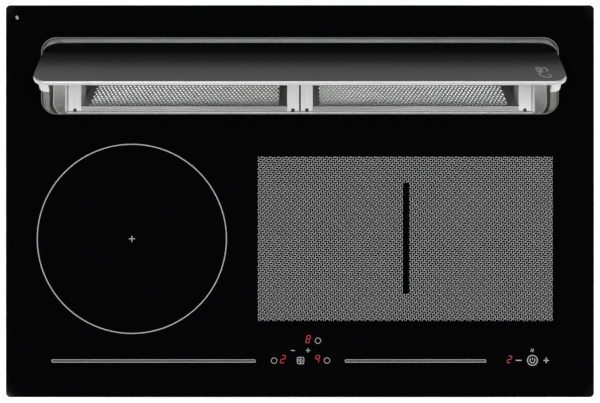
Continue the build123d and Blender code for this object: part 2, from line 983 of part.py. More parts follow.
with BuildPart() as overflow_container:
    lip_top = drawer_top - drain_length
    lip_low = lip_top - drawer_wall
    block(drawer_left_x, drawer_right_x, drawer_front_y, drawer_rear_y, drawer_low, lip_top)
    block(
        drawer_left_x + drawer_wall,
        drawer_right_x - drawer_wall,
        drawer_front_y + drawer_wall,
        drawer_rear_y - drawer_wall,
        drawer_low + drawer_wall,
        drawer_top,
        Mode.SUBTRACT,
    )
    lip_left_x = drawer_left_x - drawer_lip
    lip_right_x = drawer_right_x + drawer_lip
    block(lip_left_x, drawer_left_x, drawer_front_y, drawer_rear_y, lip_low, lip_top)
    block(drawer_right_x, lip_right_x, drawer_front_y, drawer_rear_y, lip_low, lip_top)
    block(
        drawer_middle - grip_width / 2,
        drawer_middle + grip_width / 2,
        drawer_front_y - grip_depth,
        drawer_front_y,
        lip_low,
        lip_top,
    )
    block(
        drawer_middle - grip_width / 2,
        drawer_middle + grip_width / 2,
        drawer_front_y - grip_depth,
        drawer_front_y - grip_depth + drawer_wall,
        lip_top - grip_height,
        lip_low,
    )
save(overflow_container, "overflow_container")

rail_wall = drawer_lip + rail_play
with BuildPart() as overflow_rails:
    for edge, out in ((drawer_left_x, -1), (drawer_right_x, 1)):
        web = sorted((edge + out * rail_wall, edge + out * (rail_wall + rail_thick)))
        foot = sorted((edge + out * rail_play, edge + out * rail_wall))
        low = lip_low - fit_gap - rail_thick
        block(*web, drawer_front_y, drawer_rear_y, low, -chamber_bottom)
        block(*foot, drawer_front_y, drawer_rear_y, low, low + rail_thick)
save(overflow_rails, "overflow_rails")

# ---------------------------------------------------------------- blower


def scroll_outline(inset, z):
    """The blower's spiral and its flaring duct in plan, drawn in by inset."""
    growth = (scroll_end - scroll_start) / scroll_points
    turn = (360.0 - scroll_tongue) / scroll_points
    spiral = []
    for i in range(scroll_points + 1):
        angle = radians(scroll_tongue + turn * i)
        radius = scroll_start + growth * i - inset
        spiral.append((blower_x + radius * cos(angle), blower_y + radius * sin(angle)))
    right_x = blower_x + scroll_end - inset
    outer_x = duct_right_x - inset
    flare_y = duct_end_y - duct_flare_end
    with BuildSketch(Plane.XY.offset(z)) as area:
        with BuildLine():
            Spline(*spiral)
            Line(spiral[-1], spiral[0])
        make_face()
        Polygon(
            (duct_left_x + inset, blower_y),
            (right_x, blower_y),
            (right_x, blower_y + duct_straight),
            (outer_x, flare_y),
            (outer_x, duct_end_y + inset),
            (duct_left_x + inset, duct_end_y + inset),
            (tongue_x + inset, tongue_y),
            align=None,
        )
    return area.sketch


with BuildPart() as blower_gasket:
    rod_z(blower_x, blower_y, cover_top, -chamber_bottom, inlet_radius + gasket_width)
    rod_z(blower_x, blower_y, cover_top, -chamber_bottom, inlet_radius, Mode.SUBTRACT)
save(blower_gasket, "blower_gasket")

with BuildPart() as scroll_cover:
    extrude(scroll_outline(0, cover_top - sheet), amount=sheet)
    rod_z(blower_x, blower_y, cover_top - sheet, cover_top, inlet_radius, Mode.SUBTRACT)
save(scroll_cover, "scroll_cover")

with BuildPart() as scroll_housing:
    extrude(scroll_outline(0, scroll_floor), amount=scroll_height - sheet)
    extrude(scroll_outline(sheet, scroll_floor + sheet), amount=scroll_height, mode=Mode.SUBTRACT)
save(scroll_housing, "scroll_housing")

with BuildPart() as inlet_ring:
    bell_low = cover_top - sheet - bell_drop
    with BuildSketch(Plane.XZ) as bell:
        with BuildLine():
            Polyline(
                (bell_throat, bell_low),
                (bell_throat + sheet, bell_low),
                (inlet_radius + bell_lip, cover_top - 2 * sheet),
                (inlet_radius + bell_flange, cover_top - 2 * sheet),
                (inlet_radius + bell_flange, cover_top - sheet),
                (inlet_radius, cover_top - sheet),
                close=True,
            )
        make_face()
    bell_ring = bell.sketch.moved(Location((blower_x, blower_y, 0)))
    revolve(bell_ring, Axis((blower_x, blower_y, 0), (0, 0, 1)))
save(inlet_ring, "inlet_ring")

impeller_top = cover_top - sheet - impeller_top_gap
impeller_low = impeller_top - impeller_height
cup_top = impeller_low + cup_height
cup_roof = cup_top - cup_wall
with BuildPart() as impeller:
    rod_z(blower_x, blower_y, impeller_low, impeller_low + cup_wall, impeller_radius)
    with BuildSketch(Plane.XY.offset(impeller_low)) as blades:
        with Locations((blower_x, blower_y)):
            blade_middle = (impeller_radius + impeller_inner) / 2
            blade_length = (impeller_radius - impeller_inner) / cos(radians(blade_turn))
            with PolarLocations(blade_middle, blade_count):
                Rectangle(blade_length, blade_thick, rotation=blade_turn)
    extrude(blades.sketch, amount=impeller_height)
    rod_z(blower_x, blower_y, impeller_top - cup_wall, impeller_top, impeller_radius)
    rod_z(blower_x, blower_y, impeller_top - cup_wall, impeller_top, impeller_inner, Mode.SUBTRACT)
    rod_z(blower_x, blower_y, impeller_low, cup_top, cup_radius)
    rod_z(blower_x, blower_y, impeller_low, cup_roof, cup_radius - cup_wall, Mode.SUBTRACT)
    rod_z(blower_x, blower_y, cup_roof - hub_length, cup_roof, blower_shaft_radius + hub_wall)
    rod_z(blower_x, blower_y, impeller_low, impeller_top, blower_shaft_radius, Mode.SUBTRACT)
save(impeller, "impeller")

motor_top = cup_roof - blower_motor_gap
shaft_low = motor_top - blower_shaft_seat
with BuildPart() as blower_motor:
    rod_z(blower_x, blower_y, scroll_floor + sheet, motor_top, blower_motor_radius)
    chamfer(blower_motor.edges().group_by(Axis.Z)[-1], blower_motor_edge)
    shaft_seat = blower_shaft_radius + hinge_play
    rod_z(blower_x, blower_y, shaft_low, motor_top, shaft_seat, Mode.SUBTRACT)
save(blower_motor, "blower_motor")

with BuildPart() as blower_shaft:
    shaft_top = cup_top + blower_shaft_proud
    rod_z(blower_x, blower_y, shaft_low + fit_gap, shaft_top, blower_shaft_radius)
save(blower_shaft, "blower_shaft")

with BuildPart() as exhaust_collar:
    flange_y = duct_end_y + sheet
    block(duct_left_x, duct_right_x, duct_end_y, flange_y + collar_length, scroll_floor, cover_top)
    flange_left_x = duct_left_x - collar_flange
    flange_right_x = duct_right_x + collar_flange
    block(flange_left_x, flange_right_x, duct_end_y, flange_y, scroll_floor, cover_top)
    block(
        duct_left_x + sheet,
        duct_right_x - sheet,
        duct_end_y,
        flange_y + collar_length,
        scroll_floor + sheet,
        cover_top - sheet,
        Mode.SUBTRACT,
    )
    with BuildSketch(Plane.XZ.offset(-flange_y)) as flange_holes:
        with Locations(((duct_left_x + duct_right_x) / 2, (scroll_floor + cover_top) / 2)):
            with GridLocations(duct_width + collar_flange, collar_bolt_rise, 2, 2):
                Circle(collar_bolt_radius)
    extrude(flange_holes.sketch, amount=sheet, mode=Mode.SUBTRACT)
save(exhaust_collar, "exhaust_collar")

with BuildPart() as blower_control_box:
    box_low = -chamber_bottom - box_height
    block(box_left_x, box_right_x, box_front_y, box_rear_y, box_low, -chamber_bottom)
    fillet(blower_control_box.edges().filter_by(Axis.Z), box_corner)
save(blower_control_box, "blower_control_box")

# ---------------------------------------------------------------- induction tray

with BuildPart() as induction_tray:
    block(-casing_half_x, casing_half_x, tray_front_y, tray_rear_y, -tray_depth, frame_low)
    block(
        -casing_half_x + tray_sheet,
        casing_half_x - tray_sheet,
        tray_front_y + tray_sheet,
        tray_rear_y - tray_sheet,
        tray_floor,
        frame_low,
        Mode.SUBTRACT,
    )
    for side in (-1, 1):
        rod_z(side * fan_x, fan_y, -tray_depth, tray_floor, fan_hole_radius, Mode.SUBTRACT)
    rod_z(gland_x, gland_y, -tray_depth, tray_floor, gland_thread_radius + bolt_gap, Mode.SUBTRACT)
    # rows of vent slots in the front wall, under the worktop
    with BuildSketch(Plane.XZ.offset(-tray_front_y)) as vents:
        with Locations((0, -tray_depth + vent_rows * vent_row_pitch / 2)):
            with GridLocations(vent_pitch, vent_row_pitch, vent_count, vent_rows):
                SlotOverall(vent_width, vent_height)
    extrude(vents.sketch, amount=-tray_sheet, mode=Mode.SUBTRACT)
save(induction_tray, "induction_tray")

with BuildPart() as fan_guards:
    for side in (-1, 1):
        with BuildSketch(Plane.XY.offset(-tray_depth - tray_sheet)) as guard:
            with Locations((side * fan_x, fan_y)):
                Circle(fan_hole_radius + guard_margin)
                Circle(fan_hole_radius - guard_lap, mode=Mode.SUBTRACT)
                Rectangle(2 * fan_hole_radius, guard_bar)
                Rectangle(guard_bar, 2 * fan_hole_radius)
                Circle(fan_hole_radius * guard_ring + guard_bar)
                Circle(fan_hole_radius * guard_ring, mode=Mode.SUBTRACT)
                Circle(fan_hub_radius)
                Rectangle(2 * fan_hole_radius, guard_bar)
                Rectangle(guard_bar, 2 * fan_hole_radius)
        extrude(guard.sketch, amount=tray_sheet)
save(fan_guards, "fan_guards")

fan_lid = tray_floor + fan_height - fan_wall
fan_outlet_half = fan_hole_radius * fan_outlet_share
with BuildPart() as fan_housings:
    for side in (-1, 1):
        fan_centre = side * fan_x
        block(
            fan_centre - fan_size / 2,
            fan_centre + fan_size / 2,
            fan_y - fan_size / 2,
            fan_y + fan_size / 2 - fan_wall,
            tray_floor,
            tray_floor + fan_height,
        )
        rod_z(fan_centre, fan_y, tray_floor, fan_lid, fan_hole_radius, Mode.SUBTRACT)
        # outlet towards the front
        block(
            fan_centre - fan_outlet_half,
            fan_centre + fan_outlet_half,
            fan_y - fan_size / 2,
            fan_y,
            tray_floor + fan_wall,
            fan_lid,
            Mode.SUBTRACT,
        )
        # stator hub under the lid
        rod_z(fan_centre, fan_y, fan_lid - stator_depth, fan_lid, fan_hub_radius - stator_inset)
        rod_z(fan_centre, fan_y, tray_floor + fan_pin_start, fan_lid, fan_pin_radius)
save(fan_housings, "fan_housings")

for name, side in (("left", -1), ("right", 1)):
    fan_centre = side * fan_x
    with BuildPart() as fan_rotor:
        rotor_low = tray_floor + rotor_lift
        rotor_high = fan_lid - rotor_gap
        vane_length = fan_rotor_radius - fan_hub_radius + vane_sink
        rod_z(fan_centre, fan_y, rotor_low, rotor_high, fan_hub_radius)
        with BuildSketch(Plane.XY.offset(rotor_low)) as vanes:
            with Locations((fan_centre, fan_y)):
                with PolarLocations((fan_rotor_radius + fan_hub_radius) / 2, fan_blade_count):
                    Rectangle(vane_length, blade_thick, rotation=blade_turn / 2)
        extrude(vanes.sketch, amount=rotor_high - rotor_low)
        hub_roof = fan_lid - stator_depth - rotor_gap
        rod_z(fan_centre, fan_y, hub_roof, rotor_high, fan_hub_radius - rotor_wall, Mode.SUBTRACT)
        rod_z(fan_centre, fan_y, rotor_low, rotor_high, fan_pin_radius + hinge_play, Mode.SUBTRACT)
    save(fan_rotor, f"{name}_fan_rotor")

# ---------------------------------------------------------------- coils

flex_centres = (flex_x - flex_pitch / 2, flex_x + flex_pitch / 2)
coil_centres = ((zone_x, zone_y), (flex_centres[0], zone_y), (flex_centres[1], zone_y))


def flex_slab(x, width, depth, corner, z_low, z_high, mode=Mode.ADD):
    """A rounded rectangular slab over one flex coil."""
    with BuildSketch(Plane.XY.offset(z_low)) as area:
        with Locations((x, zone_y)):
            RectangleRounded(width, depth, corner)
    extrude(area.sketch, amount=z_high - z_low, mode=mode)


wire_top = coil_top - mica_thick
with BuildPart() as induction_coils:
    rod_z(zone_x, zone_y, coil_low, wire_top, round_coil_radius)
    rod_z(zone_x, zone_y, coil_low, wire_top, round_coil_inner, Mode.SUBTRACT)
    for x in flex_centres:
        flex_slab(x, flex_coil_width, flex_coil_depth, flex_coil_corner, coil_low, wire_top)
        flex_slab(
            x,
            flex_coil_inner_width,
            flex_coil_inner_depth,
            flex_coil_corner / 2,
            coil_low,
            wire_top,
            Mode.SUBTRACT,
        )
save(induction_coils, "induction_coils")

with BuildPart() as coil_carriers:
    rod_z(zone_x, zone_y, carrier_low, coil_low, carrier_radius)
    carrier_width = flex_coil_width + 2 * carrier_margin
    carrier_depth = flex_coil_depth + 2 * carrier_margin
    carrier_corner = flex_coil_corner + carrier_margin
    for x in flex_centres:
        flex_slab(x, carrier_width, carrier_depth, carrier_corner, carrier_low, coil_low)
    for x, y in coil_centres:
        rod_z(x, y, carrier_low, coil_low, sensor_radius + bolt_gap, Mode.SUBTRACT)
        # temperature sensor in the middle of the coil
        rod_z(x, y, ferrite_low, coil_top + coil_gap / 2, sensor_radius)
save(coil_carriers, "coil_carriers")

with BuildPart() as mica_sheets:
    rod_z(zone_x, zone_y, wire_top, coil_top, round_coil_radius)
    for x in flex_centres:
        flex_slab(x, flex_coil_width, flex_coil_depth, flex_coil_corner, wire_top, coil_top)
    for x, y in coil_centres:
        rod_z(x, y, wire_top, coil_top, sensor_radius + bolt_gap, Mode.SUBTRACT)
save(mica_sheets, "mica_sheets")

with BuildPart() as ferrite_bars:
    ferrite_ring = round_coil_inner + ferrite_start + ferrite_length / 2
    with BuildSketch(Plane.XY.offset(ferrite_low)) as bars:
        for x, y in coil_centres:
            with Locations((x, y)):
                with PolarLocations(ferrite_ring, ferrite_count):
                    Rectangle(ferrite_length, ferrite_width)
    extrude(bars.sketch, amount=ferrite_thick)
save(ferrite_bars, "ferrite_bars")

plate_margin = 4.0
with BuildPart() as coil_plate:
    block(
        -casing_half_x + plate_margin,
        casing_half_x - plate_margin,
        control_rear_y + plate_margin,
        tray_rear_y - plate_margin,
        plate_low,
        ferrite_low,
    )
save(coil_plate, "coil_plate")

board_low = tray_floor + board_lift
board_top = board_low + board_thick
with BuildPart() as tray_posts:
    # tall posts under the coil plate
    post_x = casing_half_x - plate_margin - 2 * post_radius
    post_front_y = control_rear_y + plate_margin + 2 * post_radius
    post_rear_y = tray_rear_y - plate_margin - 2 * post_radius
    for x in (-post_x, 0, post_x):
        for y in (post_front_y, post_rear_y):
            rod_z(x, y, tray_floor, plate_low, post_radius)
    # short feet under the boards
    for side in (-1, 1):
        with BuildSketch(Plane.XY.offset(tray_floor)) as feet:
            with Locations((side * board_x, board_y)):
                with GridLocations(board_width - 2 * board_foot, board_depth - 2 * board_foot, 2, 2):
                    Circle(post_radius)
        extrude(feet.sketch, amount=board_lift)
    foot_span_x = filter_board_width - 2 * filter_board_foot
    foot_span_y = filter_board_depth - 2 * filter_board_foot
    with BuildSketch(Plane.XY.offset(tray_floor)) as filter_feet:
        with Locations((filter_board_x, filter_board_y)):
            with GridLocations(foot_span_x, foot_span_y, 2, 2):
                Circle(post_radius)
    extrude(filter_feet.sketch, amount=board_lift)
save(tray_posts, "tray_posts")

# ---------------------------------------------------------------- boards

with BuildPart() as power_boards:
    for side in (-1, 1):
        block(
            side * board_x - board_width / 2,
            side * board_x + board_width / 2,
            board_y - board_depth / 2,
            board_y + board_depth / 2,
            board_low,
            board_top,
        )
    # mains filter board and its two chokes
    block(
        filter_board_x - filter_board_width / 2,
        filter_board_x + filter_board_width / 2,
        filter_board_y - filter_board_depth / 2,
        filter_board_y + filter_board_depth / 2,
        board_low,
        board_top,
    )
    choke_top = board_top + choke_height
    for x in (filter_board_x - choke_pitch / 2, filter_board_x + choke_pitch / 2):
        rod_z(x, filter_board_y, board_top, choke_top, choke_radius)
        rod_z(x, filter_board_y, board_top + choke_base, choke_top, choke_radius / 2, Mode.SUBTRACT)
save(power_boards, "power_boards")

with BuildPart() as heat_sinks:
    for side in (-1, 1):
        sink_x = side * board_x
        block(
            sink_x - sink_width / 2,
            sink_x + sink_width / 2,
            board_y - sink_depth / 2,
            board_y + sink_depth / 2,
            board_top,
            board_top + sink_base,
        )
        with BuildSketch(Plane.XY.offset(board_top + sink_base)) as fins:
            with Locations((sink_x, board_y)):
                fin_pitch = (sink_width - sink_fin) / (sink_fins - 1)
                with GridLocations(fin_pitch, 1, sink_fins, 1):
                    Rectangle(sink_fin, sink_depth)
        extrude(fins.sketch, amount=sink_height - sink_base)
save(heat_sinks, "heat_sinks")

with BuildPart() as terminal_block:
    block(
        terminal_x - terminal_width / 2,
        terminal_x + terminal_width / 2,
        terminal_y - terminal_depth / 2,
        terminal_y + terminal_depth / 2,
        tray_floor,
        tray_floor + terminal_height,
    )
    with BuildSketch(Plane.XY.offset(tray_floor + terminal_height)) as clamps:
        with Locations((terminal_x, terminal_y)):
            with GridLocations(terminal_pitch, 1, terminal_count, 1):
                Circle(terminal_hole_radius)
    extrude(clamps.sketch, amount=-terminal_hole_depth, mode=Mode.SUBTRACT)
save(terminal_block, "terminal_block")

with BuildPart() as mains_gland:
    gland_low = -tray_depth - gland_length
    rod_z(gland_x, gland_y, gland_low, -tray_depth, gland_flange_radius)
    gland_top = tray_floor + gland_nut
    rod_z(gland_x, gland_y, -tray_depth, gland_top, gland_thread_radius)
    rod_z(gland_x, gland_y, gland_low, gland_top, gland_bore_radius, Mode.SUBTRACT)
    chamfer(mains_gland.faces().sort_by(Axis.Z)[0].outer_wire().edges(), gland_edge)
save(mains_gland, "mains_gland")

# ---------------------------------------------------------------- touch controls

control_low = seal_thick - control_drop
with BuildPart() as control_carrier:
    block(control_left_x, control_right_x, control_front_y, control_rear_y, control_low, 0.0)
    block(
        control_left_x + control_rib,
        control_right_x - control_rib,
        control_front_y + control_rib,
        control_rear_y - control_rib,
        control_low + control_rib,
        0.0,
        Mode.SUBTRACT,
    )
    # legs down to the tray floor
    for x in (control_left_x + control_leg_inset, 0.0, control_right_x - control_leg_inset):
        rod_z(x, control_front_y + control_leg_inset, tray_floor, control_low, post_radius)
save(control_carrier, "control_carrier")

touch_low = seal_thick - display_height - board_thick
with BuildPart() as touch_board:
    block(
        control_left_x + 2 * control_rib,
        control_right_x - 2 * control_rib,
        control_front_y + 2 * control_rib,
        control_rear_y - 2 * control_rib,
        touch_low,
        seal_thick - display_height,
    )
    for x in (control_left_x + touch_pin_inset, 0.0, control_right_x - touch_pin_inset):
        for y in (control_front_y + touch_pin_inset, control_rear_y - touch_pin_inset):
            rod_z(x, y, control_low + control_rib, touch_low, post_radius / 2)
save(touch_board, "touch_board")

with BuildPart() as display_modules:
    for x, rise in display_places:
        block(
            x - display_width / 2,
            x + display_width / 2,
            control_front_y + rise - display_depth / 2,
            control_front_y + rise + display_depth / 2,
            seal_thick - display_height,
            seal_thick - skin_gap,
        )
save(display_modules, "display_modules")

# ---------------------------------------------------------------- clamps and screws

clamp_low = -worktop_thick - clamp_screw_length
clamp_screw_x = casing_half_x + clamp_reach / 2 + clamp_screw_offset
with BuildPart() as hold_down_clamps:
    for side in (-1, 1):
        leg = span(side, casing_half_x, casing_half_x + clamp_thick)
        foot = span(side, casing_half_x, casing_half_x + clamp_reach)
        for y in clamp_places:
            near_y = y - clamp_width / 2
            far_y = y + clamp_width / 2
            block(*leg, near_y, far_y, clamp_low, clamp_low + clamp_leg)
            block(*foot, near_y, far_y, clamp_low, clamp_low + clamp_thick)
            screw_x = side * clamp_screw_x
            rod_z(screw_x, y, clamp_low, clamp_low + clamp_thick, clamp_screw_radius, Mode.SUBTRACT)
save(hold_down_clamps, "hold_down_clamps")

with BuildPart() as fixing_screws:
    for side in (-1, 1):
        screw_x = side * clamp_screw_x
        for y in clamp_places:
            rod_z(screw_x, y, clamp_low, -worktop_thick - clamp_screw_gap, clamp_screw_radius)
            rod_z(screw_x, y, clamp_low - screw_head_height, clamp_low, clamp_screw_head)
    # along the rear of the casing
    outer_screw_x = casing_half_x - casing_screw_inset
    lower_screw_z = (chamber_top - chamber_bottom) / 2
    upper_screw_z = chamber_top / 2
    for x in (-outer_screw_x, -casing_screw_x, casing_screw_x, outer_screw_x):
        with BuildSketch(Plane.XZ.offset(-casing_rear_y)) as head:
            with Locations((x, lower_screw_z), (x, upper_screw_z)):
                Circle(screw_head_radius)
        extrude(head.sketch, amount=-screw_head_height)
save(fixing_screws, "fixing_screws")
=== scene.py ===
import math
import bpy
import bmesh
import numpy as np
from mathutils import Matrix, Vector


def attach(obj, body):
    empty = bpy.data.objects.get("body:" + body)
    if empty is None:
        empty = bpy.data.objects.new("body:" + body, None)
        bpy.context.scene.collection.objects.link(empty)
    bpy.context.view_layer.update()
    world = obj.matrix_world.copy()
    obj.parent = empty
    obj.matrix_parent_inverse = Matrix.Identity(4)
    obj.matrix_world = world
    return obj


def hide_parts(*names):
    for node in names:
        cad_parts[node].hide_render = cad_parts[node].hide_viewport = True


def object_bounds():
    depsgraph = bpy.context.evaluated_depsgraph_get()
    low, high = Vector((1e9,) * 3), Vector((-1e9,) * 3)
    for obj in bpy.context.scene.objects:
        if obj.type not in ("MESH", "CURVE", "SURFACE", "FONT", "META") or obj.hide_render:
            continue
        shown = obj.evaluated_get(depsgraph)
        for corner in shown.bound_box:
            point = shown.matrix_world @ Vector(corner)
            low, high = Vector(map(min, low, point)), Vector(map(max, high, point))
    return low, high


# A downdraft induction cooktop: black hob glass, a cover flap over two lift-out filter
# cassettes, and the casing, blower and trays below. X right, Y to the rear, Z up, in metres.

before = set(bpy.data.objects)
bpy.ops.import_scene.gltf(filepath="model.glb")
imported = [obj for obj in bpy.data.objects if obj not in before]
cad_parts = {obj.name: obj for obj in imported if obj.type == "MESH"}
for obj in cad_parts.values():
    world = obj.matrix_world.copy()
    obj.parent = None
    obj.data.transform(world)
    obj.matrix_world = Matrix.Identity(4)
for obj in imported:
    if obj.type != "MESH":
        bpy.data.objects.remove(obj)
cadLow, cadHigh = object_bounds()
mm = 0.001

# what the pieces share: heights and the flap's hinge in millimetres, and the two cassettes' sides
hob = {"glassTop": 6.0, "hingeY": 195.3, "hingeZ": -1.5, "flapTilt": math.radians(50.0)}
cassettes = ((-1, "left_filter"), (1, "right_filter"))


def linearColour(code):
    # hex sRGB to linear: c/12.92 below 0.04045, else ((c + 0.055) / 1.055) ^ 2.4
    parts = [int(code[i:i + 2], 16) / 255.0 for i in (1, 3, 5)]
    return [c / 12.92 if c <= 0.04045 else ((c + 0.055) / 1.055) ** 2.4 for c in parts] + [1.0]


def addNode(tree, kind, settings=None, links=None):
    # one shader node with its settings and links: properties and a ramp's stops by name,
    # sockets by name or number
    node = tree.nodes.new("ShaderNode" + kind)
    for key, value in (settings or {}).items():
        if key == "stops":
            elements = node.color_ramp.elements
            while len(elements) < len(value):
                elements.new(0.5)
            for element, (position, colour) in zip(elements, value):
                element.position = position
                element.color = linearColour(colour) if isinstance(colour, str) else [colour] * 3 + [1.0]
        elif isinstance(key, str) and key[0].islower():
            setattr(node, key, value)
        else:
            node.inputs[key].default_value = value
    for key, socket in (links or {}).items():
        tree.links.new(socket, node.inputs[key])
    return node


def startMaterial(name, colour, metallic, roughness, **sockets):
    # a Principled surface with its plain numbers, and the Object coordinates for its patterns
    material = bpy.data.materials.new(name)
    material.use_nodes = True
    tree = material.node_tree
    shader = tree.nodes["Principled BSDF"]
    shader.inputs["Base Color"].default_value = linearColour(colour)
    shader.inputs["Metallic"].default_value = metallic
    shader.inputs["Roughness"].default_value = roughness
    for key, value in sockets.items():
        shader.inputs[key.replace("_", " ")].default_value = value
    place = addNode(tree, "TexCoord").outputs["Object"]
    return material, tree, shader, place


def noiseAlong(tree, place, scale, detail, rough=0.5):
    # noise with its own scale along X, Y and Z, or one for all, in cycles a metre: 1000 / size in mm
    scale = (scale,) * 3 if isinstance(scale, float) else scale
    mapped = addNode(tree, "Mapping", {"Scale": scale}, {"Vector": place})
    return addNode(tree, "TexNoise", {"Scale": 1.0, "Detail": detail, "Roughness": rough},
                   {"Vector": mapped.outputs["Vector"]}).outputs["Fac"]


def darkened(tree, shader, base, pattern, darkest, share=1.0, stops=(0.3, 0.7)):
    # the base colour multiplied, by a share, by a ramp of the pattern from its darkest tone to white
    ramp = addNode(tree, "ValToRGB", {"stops": tuple(zip(stops, (darkest, "#ffffff")))}, {"Fac": pattern})
    settings = {"data_type": "RGBA", "blend_type": "MULTIPLY", "Factor": share}
    # sockets 6 and 7 are the two colours, and output 2 is the mixed one
    links = {7: ramp.outputs["Color"]}
    (links if isinstance(base, bpy.types.NodeSocket) else settings)[6] = base
    tone = addNode(tree, "Mix", settings, links).outputs[2]
    tree.links.new(tone, shader.inputs["Base Color"])
    return tone


def surfaced(tree, shader, pattern, gloss=None, depth=0.0, strength=0.5):
    # lets a pattern vary the roughness between two values and raise the surface by a depth in metres
    if gloss:
        spread = addNode(tree, "MapRange", {"To Min": gloss[0], "To Max": gloss[1]}, {"Value": pattern})
        tree.links.new(spread.outputs[0], shader.inputs["Roughness"])
    if depth:
        relief = addNode(tree, "Bump", {"Strength": strength, "Distance": depth}, {"Height": pattern})
        tree.links.new(relief.outputs[0], shader.inputs["Normal"])


def glassCeramic(name, roughness, index):
    # black glass-ceramic, rolled and polished: near-black body under a smooth face, with the
    # faint waviness of rolled glass
    material, tree, shader, place = startMaterial(name, "#040405", 0.0, roughness, IOR=index)
    surfaced(tree, shader, noiseAlong(tree, place, 9.0, 1.0), None, 0.00012, 0.4)
    return material


def brushedSteel(name, colour, roughness, along):
    # stainless sheet with a brushed finish: long fine streaks in one direction, drawn about
    # 0.7 mm wide so that they show, and a soft mottle from handling
    material, tree, shader, place = startMaterial(name, colour, 1.0, roughness, Anisotropic=0.4)
    scale = [1400.0, 1400.0, 1400.0]
    scale["xyz".index(along)] = 9.0
    streak = noiseAlong(tree, place, scale, 4.0, 0.6)
    mottle = noiseAlong(tree, place, 14.0, 2.0)
    tone = darkened(tree, shader, linearColour(colour), streak, "#e8e8e8", 1.0, (0.25, 0.75))
    darkened(tree, shader, tone, mottle, "#dcdcdc", 0.25)
    surfaced(tree, shader, streak, (roughness - 0.06, roughness + 0.08), 0.00002)
    return material


def galvanisedSheet(name):
    # hot-dip galvanised sheet: zinc spangle a few millimetres across with slightly different
    # greys and gloss, and a dull bloom
    material, tree, shader, place = startMaterial(name, "#a9adb0", 1.0, 0.46)
    mapped = addNode(tree, "Mapping", {"Scale": (190.0, 190.0, 190.0)}, {"Vector": place})
    bent = addNode(tree, "TexNoise", {"Scale": 2.0, "Detail": 2.0},
                   {"Vector": mapped.outputs["Vector"]})
    warped = addNode(tree, "VectorMath", {"operation": "ADD"},
                     {0: mapped.outputs["Vector"], 1: bent.outputs["Color"]})
    spangle = addNode(tree, "TexVoronoi", {"Scale": 1.0}, {"Vector": warped.outputs["Vector"]})
    grey = addNode(tree, "SeparateColor", None, {"Color": spangle.outputs["Color"]}).outputs["Red"]
    tone = addNode(tree, "ValToRGB", {"stops": ((0.0, "#9aa0a4"), (1.0, "#b3b7ba"))}, {"Fac": grey})
    darkened(tree, shader, tone.outputs["Color"], noiseAlong(tree, place, 12.0, 4.0), "#b8bcbe", 0.2)
    surfaced(tree, shader, grey, (0.42, 0.54))
    return material


def mouldedPlastic(name, colour, roughness, grain):
    # injection-moulded plastic: one colour with a fine spark-eroded grain and slight flow marks
    material, tree, shader, place = startMaterial(name, colour, 0.0, roughness, IOR=1.49)
    flow = noiseAlong(tree, place, 18.0, 3.0)
    darkened(tree, shader, linearColour(colour), flow, "#e2e2e2", 0.5)
    fine = noiseAlong(tree, place, grain, 2.0)
    surfaced(tree, shader, fine, (roughness - 0.07, roughness + 0.07), 0.00006)
    return material


def castMetal(name, colour, roughness, grain):
    # die-cast, plated or rolled metal with a fine sandy skin
    material, tree, shader, place = startMaterial(name, colour, 1.0, roughness)
    skin = noiseAlong(tree, place, grain, 4.0)
    surfaced(tree, shader, skin, (roughness - 0.08, roughness + 0.08), 0.00005)
    return material


def softRubber(name, colour):
    # rubber or silicone foam: dull, with fine open cells
    material, tree, shader, place = startMaterial(name, colour, 0.0, 0.85)
    surfaced(tree, shader, noiseAlong(tree, place, 900.0, 2.0), None, 0.0001)
    return material


def printedEnamel(name, colour, darkest):
    # screened ceramic ink, or a matt sheet: dull, with the faint unevenness of the screen
    material, tree, shader, place = startMaterial(name, colour, 0.0, 0.55, IOR=1.45)
    darkened(tree, shader, linearColour(colour), noiseAlong(tree, place, 600.0, 2.0), darkest)
    return material


def glowingSegment(name, colour, strength):
    # red light-emitting segment behind the glass
    material, tree, shader, place = startMaterial(name, "#300004", 0.0, 0.4, Emission_Strength=strength)
    shader.inputs["Emission Color"].default_value = linearColour(colour)
    return material


def woundCopper(name):
    # enamelled copper strand wound flat: turns round each coil, drawn coarser than the real strand
    material, tree, shader, place = startMaterial(name, "#a8542c", 1.0, 0.4)
    turns = addNode(tree, "TexWave", {"wave_type": "RINGS", "rings_direction": "Z", "Scale": 80.0,
                                      "Distortion": 0.4}, {"Vector": place}).outputs["Fac"]
    surfaced(tree, shader, turns, None, 0.0005, 0.7)
    # painted shade and highlight: the pattern that raises the turns also darkens the hollows between them
    # and lightens their crests
    tone = addNode(tree, "ValToRGB", {"stops": ((0.0, "#7c3418"), (1.0, "#c4693a"))}, {"Fac": turns})
    tree.links.new(tone.outputs["Color"], shader.inputs["Base Color"])
    return material


blackGlass = glassCeramic("blackGlassCeramic", 0.03, 1.5)
flapGlass = glassCeramic("blackFlapGlass", 0.25, 1.41)  # a softer shine than the hob's
steelAlongX = brushedSteel("brushedStainlessSteel", "#f2f2f2", 0.5, "x")
steelAlongY = brushedSteel("stainlessCheekSheet", "#f8f8f8", 0.62, "y")  # pale and almost matt
steelBright = brushedSteel("satinSteelFold", "#f3f2ef", 0.3, "x")  # a bright line along a fold
shadedTrimSteel = brushedSteel("trimSteelPaintedShade", "#787878", 0.42, "x")  # painted shade: a dark grey copy of the stainless, a thin grey line
wallSteel = brushedSteel("polishedLinerWall", "#f8f8f8", 0.24, "x")  # mirrors the pocket's floor
shadedLipSteel = brushedSteel("linerLipPaintedShade", "#c2c2c2", 0.34, "x")  # painted shade: the liner's rear lip darker than the rest of the liner
edgeSteel = brushedSteel("polishedEdgeStrip", "#dcdcdc", 0.4, "x")  # a bright edge to the flap
shadedRailSteel = brushedSteel("frontRailPaintedShade", "#c6c6c6", 0.44, "x")  # painted shade: a darker copy of the cheeks' stainless, greyer than the cheeks
meshSteel = castMetal("expandedStainlessMesh", "#f6f6f6", 0.32, 800.0)  # glints on the strands
steelDark = castMetal("unpolishedSteelRail", "#cbcbcb", 0.38, 500.0)
